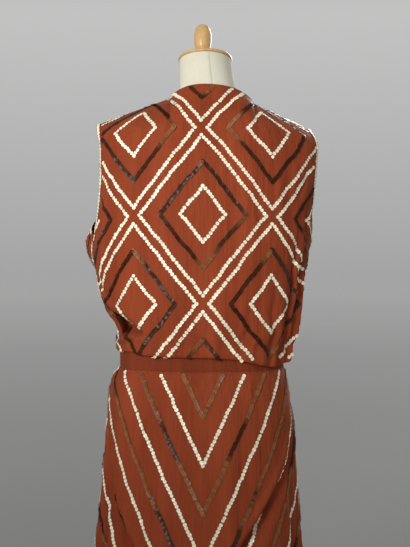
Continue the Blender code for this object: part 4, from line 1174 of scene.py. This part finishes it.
# ---------------------------------------------------------------- dress form
def form_cover():
    """Jersey-covered bust, with a seam up the middle of the back and of the front."""
    rows, sides = 190, 144
    zs = np.concatenate([np.linspace(FORM["z"][0], 1.36, 110), np.linspace(1.36, FORM["z"][-1], 81)[1:]])
    angle = 360.0 * np.arange(sides) / sides
    verts, seam = [], []
    for z in zs:
        side, back, front, square, lean, forward, tilt = (
            float(read(FORM, "z", name, z)) for name in ("side", "back", "front", "square", "lean", "forward", "tilt"))
        p, out = oval(side, side, back, front, square, angle)
        tilt = math.radians(tilt)
        mark = np.zeros(sides)
        for middle in (97.0, 270.0):
            away = np.abs(turn_away(angle, middle)) * math.radians(1.0) * side
            mark = np.maximum(mark, np.exp(-(away / 0.0011) ** 2))
            p = p - out * (0.0007 * np.exp(-(away / 0.0012) ** 2) - 0.00035 * np.exp(-((away - 0.0032) / 0.0014) ** 2))[:, None]
        q = np.stack([p[:, 0] + lean, p[:, 1] * math.cos(tilt) - forward, z + p[:, 1] * math.sin(tilt)], -1)
        verts.append(q)
        seam.append(0.75 * mark)
    verts = np.array(verts)
    rows = len(verts)
    faces = []
    for r in range(rows - 1):
        for k in range(sides):
            m = (k + 1) % sides
            faces.append((r * sides + k, r * sides + m, (r + 1) * sides + m, (r + 1) * sides + k))
    faces.append(tuple(range(sides))[::-1])
    faces.append(tuple((rows - 1) * sides + k for k in range(sides)))
    obj = link("form_cover", verts.reshape(-1, 3), faces, JERSEY, sharp=50.0)
    add_float(obj, "seam", np.concatenate(seam))
    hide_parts("form_torso")
    # small hand stitches beside the seam on the neck
    col = int(round(97.0 / 360.0 * sides))
    line = verts[130:-2, col]
    nrm = line - np.array([NECK_TOP[0], NECK_TOP[1], 0.0]) * np.array([1.0, 1.0, 0.0])
    nrm[:, 2] = 0.0
    nrm /= np.linalg.norm(nrm, axis=-1, keepdims=True)
    thread = stitches("form_cover_stitches", [(line + nrm * 0.0004, nrm)], CREAM_THREAD, length=0.0020, radius=0.00022, pitch=0.0040)
    return obj, thread


def turned(name, profile, sides, mat, node, foot=(0.0, 0.0, 0.0), tilt=0.0, dense=6):
    """Turned solid through a smooth profile, on a foot point and leaning forwards by a tilt."""
    r, z = profile["radius"], profile["z"]
    pts = np.stack([r, z], -1)
    pts = np.vstack([2 * pts[0] - pts[1], pts, 2 * pts[-1] - pts[-2]])
    line = []
    for i in range(len(pts) - 3):
        for k in range(dense):
            t = k / dense
            p0, p1, p2, p3 = pts[i:i + 4]
            tangent1, tangent2 = 0.35 * (p2 - p0), 0.35 * (p3 - p1)
            line.append(((2 * t - 3) * t * t + 1) * p1 + ((t - 2) * t + 1) * t * tangent1 + (3 - 2 * t) * t * t * p2 + (t - 1) * t * t * tangent2)
    line.append(pts[-2])
    line = np.array(line)
    line[:, 1] = np.clip(line[:, 1], z[0], z[-1])
    w = 2 * math.pi * np.arange(sides) / sides
    c, s = math.cos(math.radians(tilt)), math.sin(math.radians(tilt))
    verts = []
    for radius, height in line:
        x, y = radius * np.cos(w), radius * np.sin(w)
        verts.append(np.stack([foot[0] + x, foot[1] + y * c - height * s, foot[2] + y * s + height * c], -1))
    rows = len(verts)
    faces = []
    for a in range(rows - 1):
        for k in range(sides):
            m = (k + 1) % sides
            faces.append((a * sides + k, a * sides + m, (a + 1) * sides + m, (a + 1) * sides + k))
    faces.append(tuple(range(sides))[::-1])
    faces.append(tuple((rows - 1) * sides + k for k in range(sides)))
    obj = link(name, np.concatenate(verts), faces, mat, sharp=45.0)
    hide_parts(node)
    return obj


cover, cover_thread = form_cover()
hard = [
    turned("neck_cap_wood", CAP, 96, WOOD, "neck_cap", NECK_TOP, NECK_TILT),
    turned("finial_wood", FINIAL, 64, WOOD, "finial", (NECK_TOP[0] + 0.0050, NECK_TOP[1], NECK_TOP[2]), NECK_TILT),
    turned("post_wood", POST, 64, WOOD_LOW, "post"),
    turned("base_wood", BASE, 128, WOOD_LOW, "base"),
]

# ---------------------------------------------------------------- what stands for what
for key, obj in cloth.items():
    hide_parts(key)
    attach(obj, "root")
    for piece in extras[key]:
        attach(piece, "root")
for obj in [cover, cover_thread] + hard:
    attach(obj, "root")

# ---------------------------------------------------------------- floor, light and camera
floor_mesh = bpy.data.meshes.new("floor")
half = 90.0
floor_mesh.from_pydata([(-half, -half, -0.0006), (half, -half, -0.0006), (half, half, -0.0006), (-half, half, -0.0006)], [], [(0, 1, 2, 3)])
floor = bpy.data.objects.new("floor", floor_mesh)
bpy.context.scene.collection.objects.link(floor)
# The floor is painted dark grey around the form and grows paler with distance up to white: painted shade around the
# form's foot.
floor_mat, floor_tree, floor_shader = new_material("floor_painted_shade")
far = put(floor_tree, "ShaderNodeVectorMath", operation="LENGTH")
floor_tree.links.new(put(floor_tree, "ShaderNodeTexCoord").outputs["Object"], far.inputs[0])
reach = put(floor_tree, "ShaderNodeMapRange")
reach.inputs["From Min"].default_value = 1.0
reach.inputs["From Max"].default_value = 40.0
floor_tree.links.new(far.outputs["Value"], reach.inputs["Value"])
floor_tree.links.new(ramp(floor_tree, reach.outputs["Result"], (0.0, (0.42, 0.42, 0.41)), (0.015, (0.53, 0.53, 0.52)),
                          (0.06, (0.63, 0.63, 0.62)), (0.16, (0.74, 0.74, 0.74)), (0.40, (0.90, 0.90, 0.90)), (1.0, (1.0, 1.0, 1.0))),
                     floor_shader.inputs["Base Color"])
floor_shader.inputs["Roughness"].default_value = 0.95
floor_shader.inputs["Specular IOR Level"].default_value = 0.1
floor_mesh.materials.append(floor_mat)


def area_light(name, at, aim, size, watts, colour, spread):
    data = bpy.data.lights.new(name, "AREA")
    data.shape = "DISK"
    data.size = size
    data.energy = watts
    data.color = colour
    data.spread = math.radians(spread)
    obj = bpy.data.objects.new(name, data)
    obj.location = at
    obj.rotation_euler = (Vector(aim) - Vector(at)).to_track_quat("-Z", "Y").to_euler()
    obj.visible_camera = False
    bpy.context.scene.collection.objects.link(obj)


area_light("key", (1.10, 1.90, 1.62), (0.0, 0.05, 1.22), 1.1, 3.35, (1.0, 0.985, 0.955), 40.0)
area_light("fill", (-2.1, 1.7, 2.0), (0.0, 0.0, 1.47), 2.0, 0.95, (0.95, 0.98, 1.0), 80.0)
area_light("front", (-0.9, -1.9, 2.0), (0.0, 0.0, 1.05), 1.4, 11.0, (1.0, 0.99, 0.97), 80.0)

world = bpy.data.worlds.new("studio")
world.use_nodes = True
sky = next(n for n in world.node_tree.nodes if n.type == "BACKGROUND")
up = put(world.node_tree, "ShaderNodeSeparateXYZ")
world.node_tree.links.new(put(world.node_tree, "ShaderNodeTexCoord").outputs["Generated"], up.inputs[0])
world.node_tree.links.new(ramp(world.node_tree, up.outputs["Z"], (0.0, (0.370, 0.373, 0.370)), (0.28, (0.540, 0.543, 0.538)),
                               (0.50, (0.400, 0.402, 0.398)), (1.0, (0.280, 0.281, 0.279))), sky.inputs["Color"])
bpy.context.scene.world = world
bpy.context.scene.view_settings.view_transform = "Standard"

# The photograph looks level at the back of the dress from 1.7 m, with its frame 1.07 m high at the form's axis
DISTANCE, EYE, SPAN = 1.70, 1.06, 547 * 0.00195
camera = bpy.data.cameras.new("camera")
camera.sensor_fit = "AUTO"
camera.sensor_width = 24.0
camera.lens = 24.0 * DISTANCE / SPAN
camera.clip_start = 0.05
camera.clip_end = 60.0
eye = bpy.data.objects.new("camera", camera)
eye.location = (-0.0039, DISTANCE, EYE)
eye.rotation_euler = (math.radians(90.0), 0.0, math.radians(180.0))
bpy.context.scene.collection.objects.link(eye)
bpy.context.scene.camera = eye
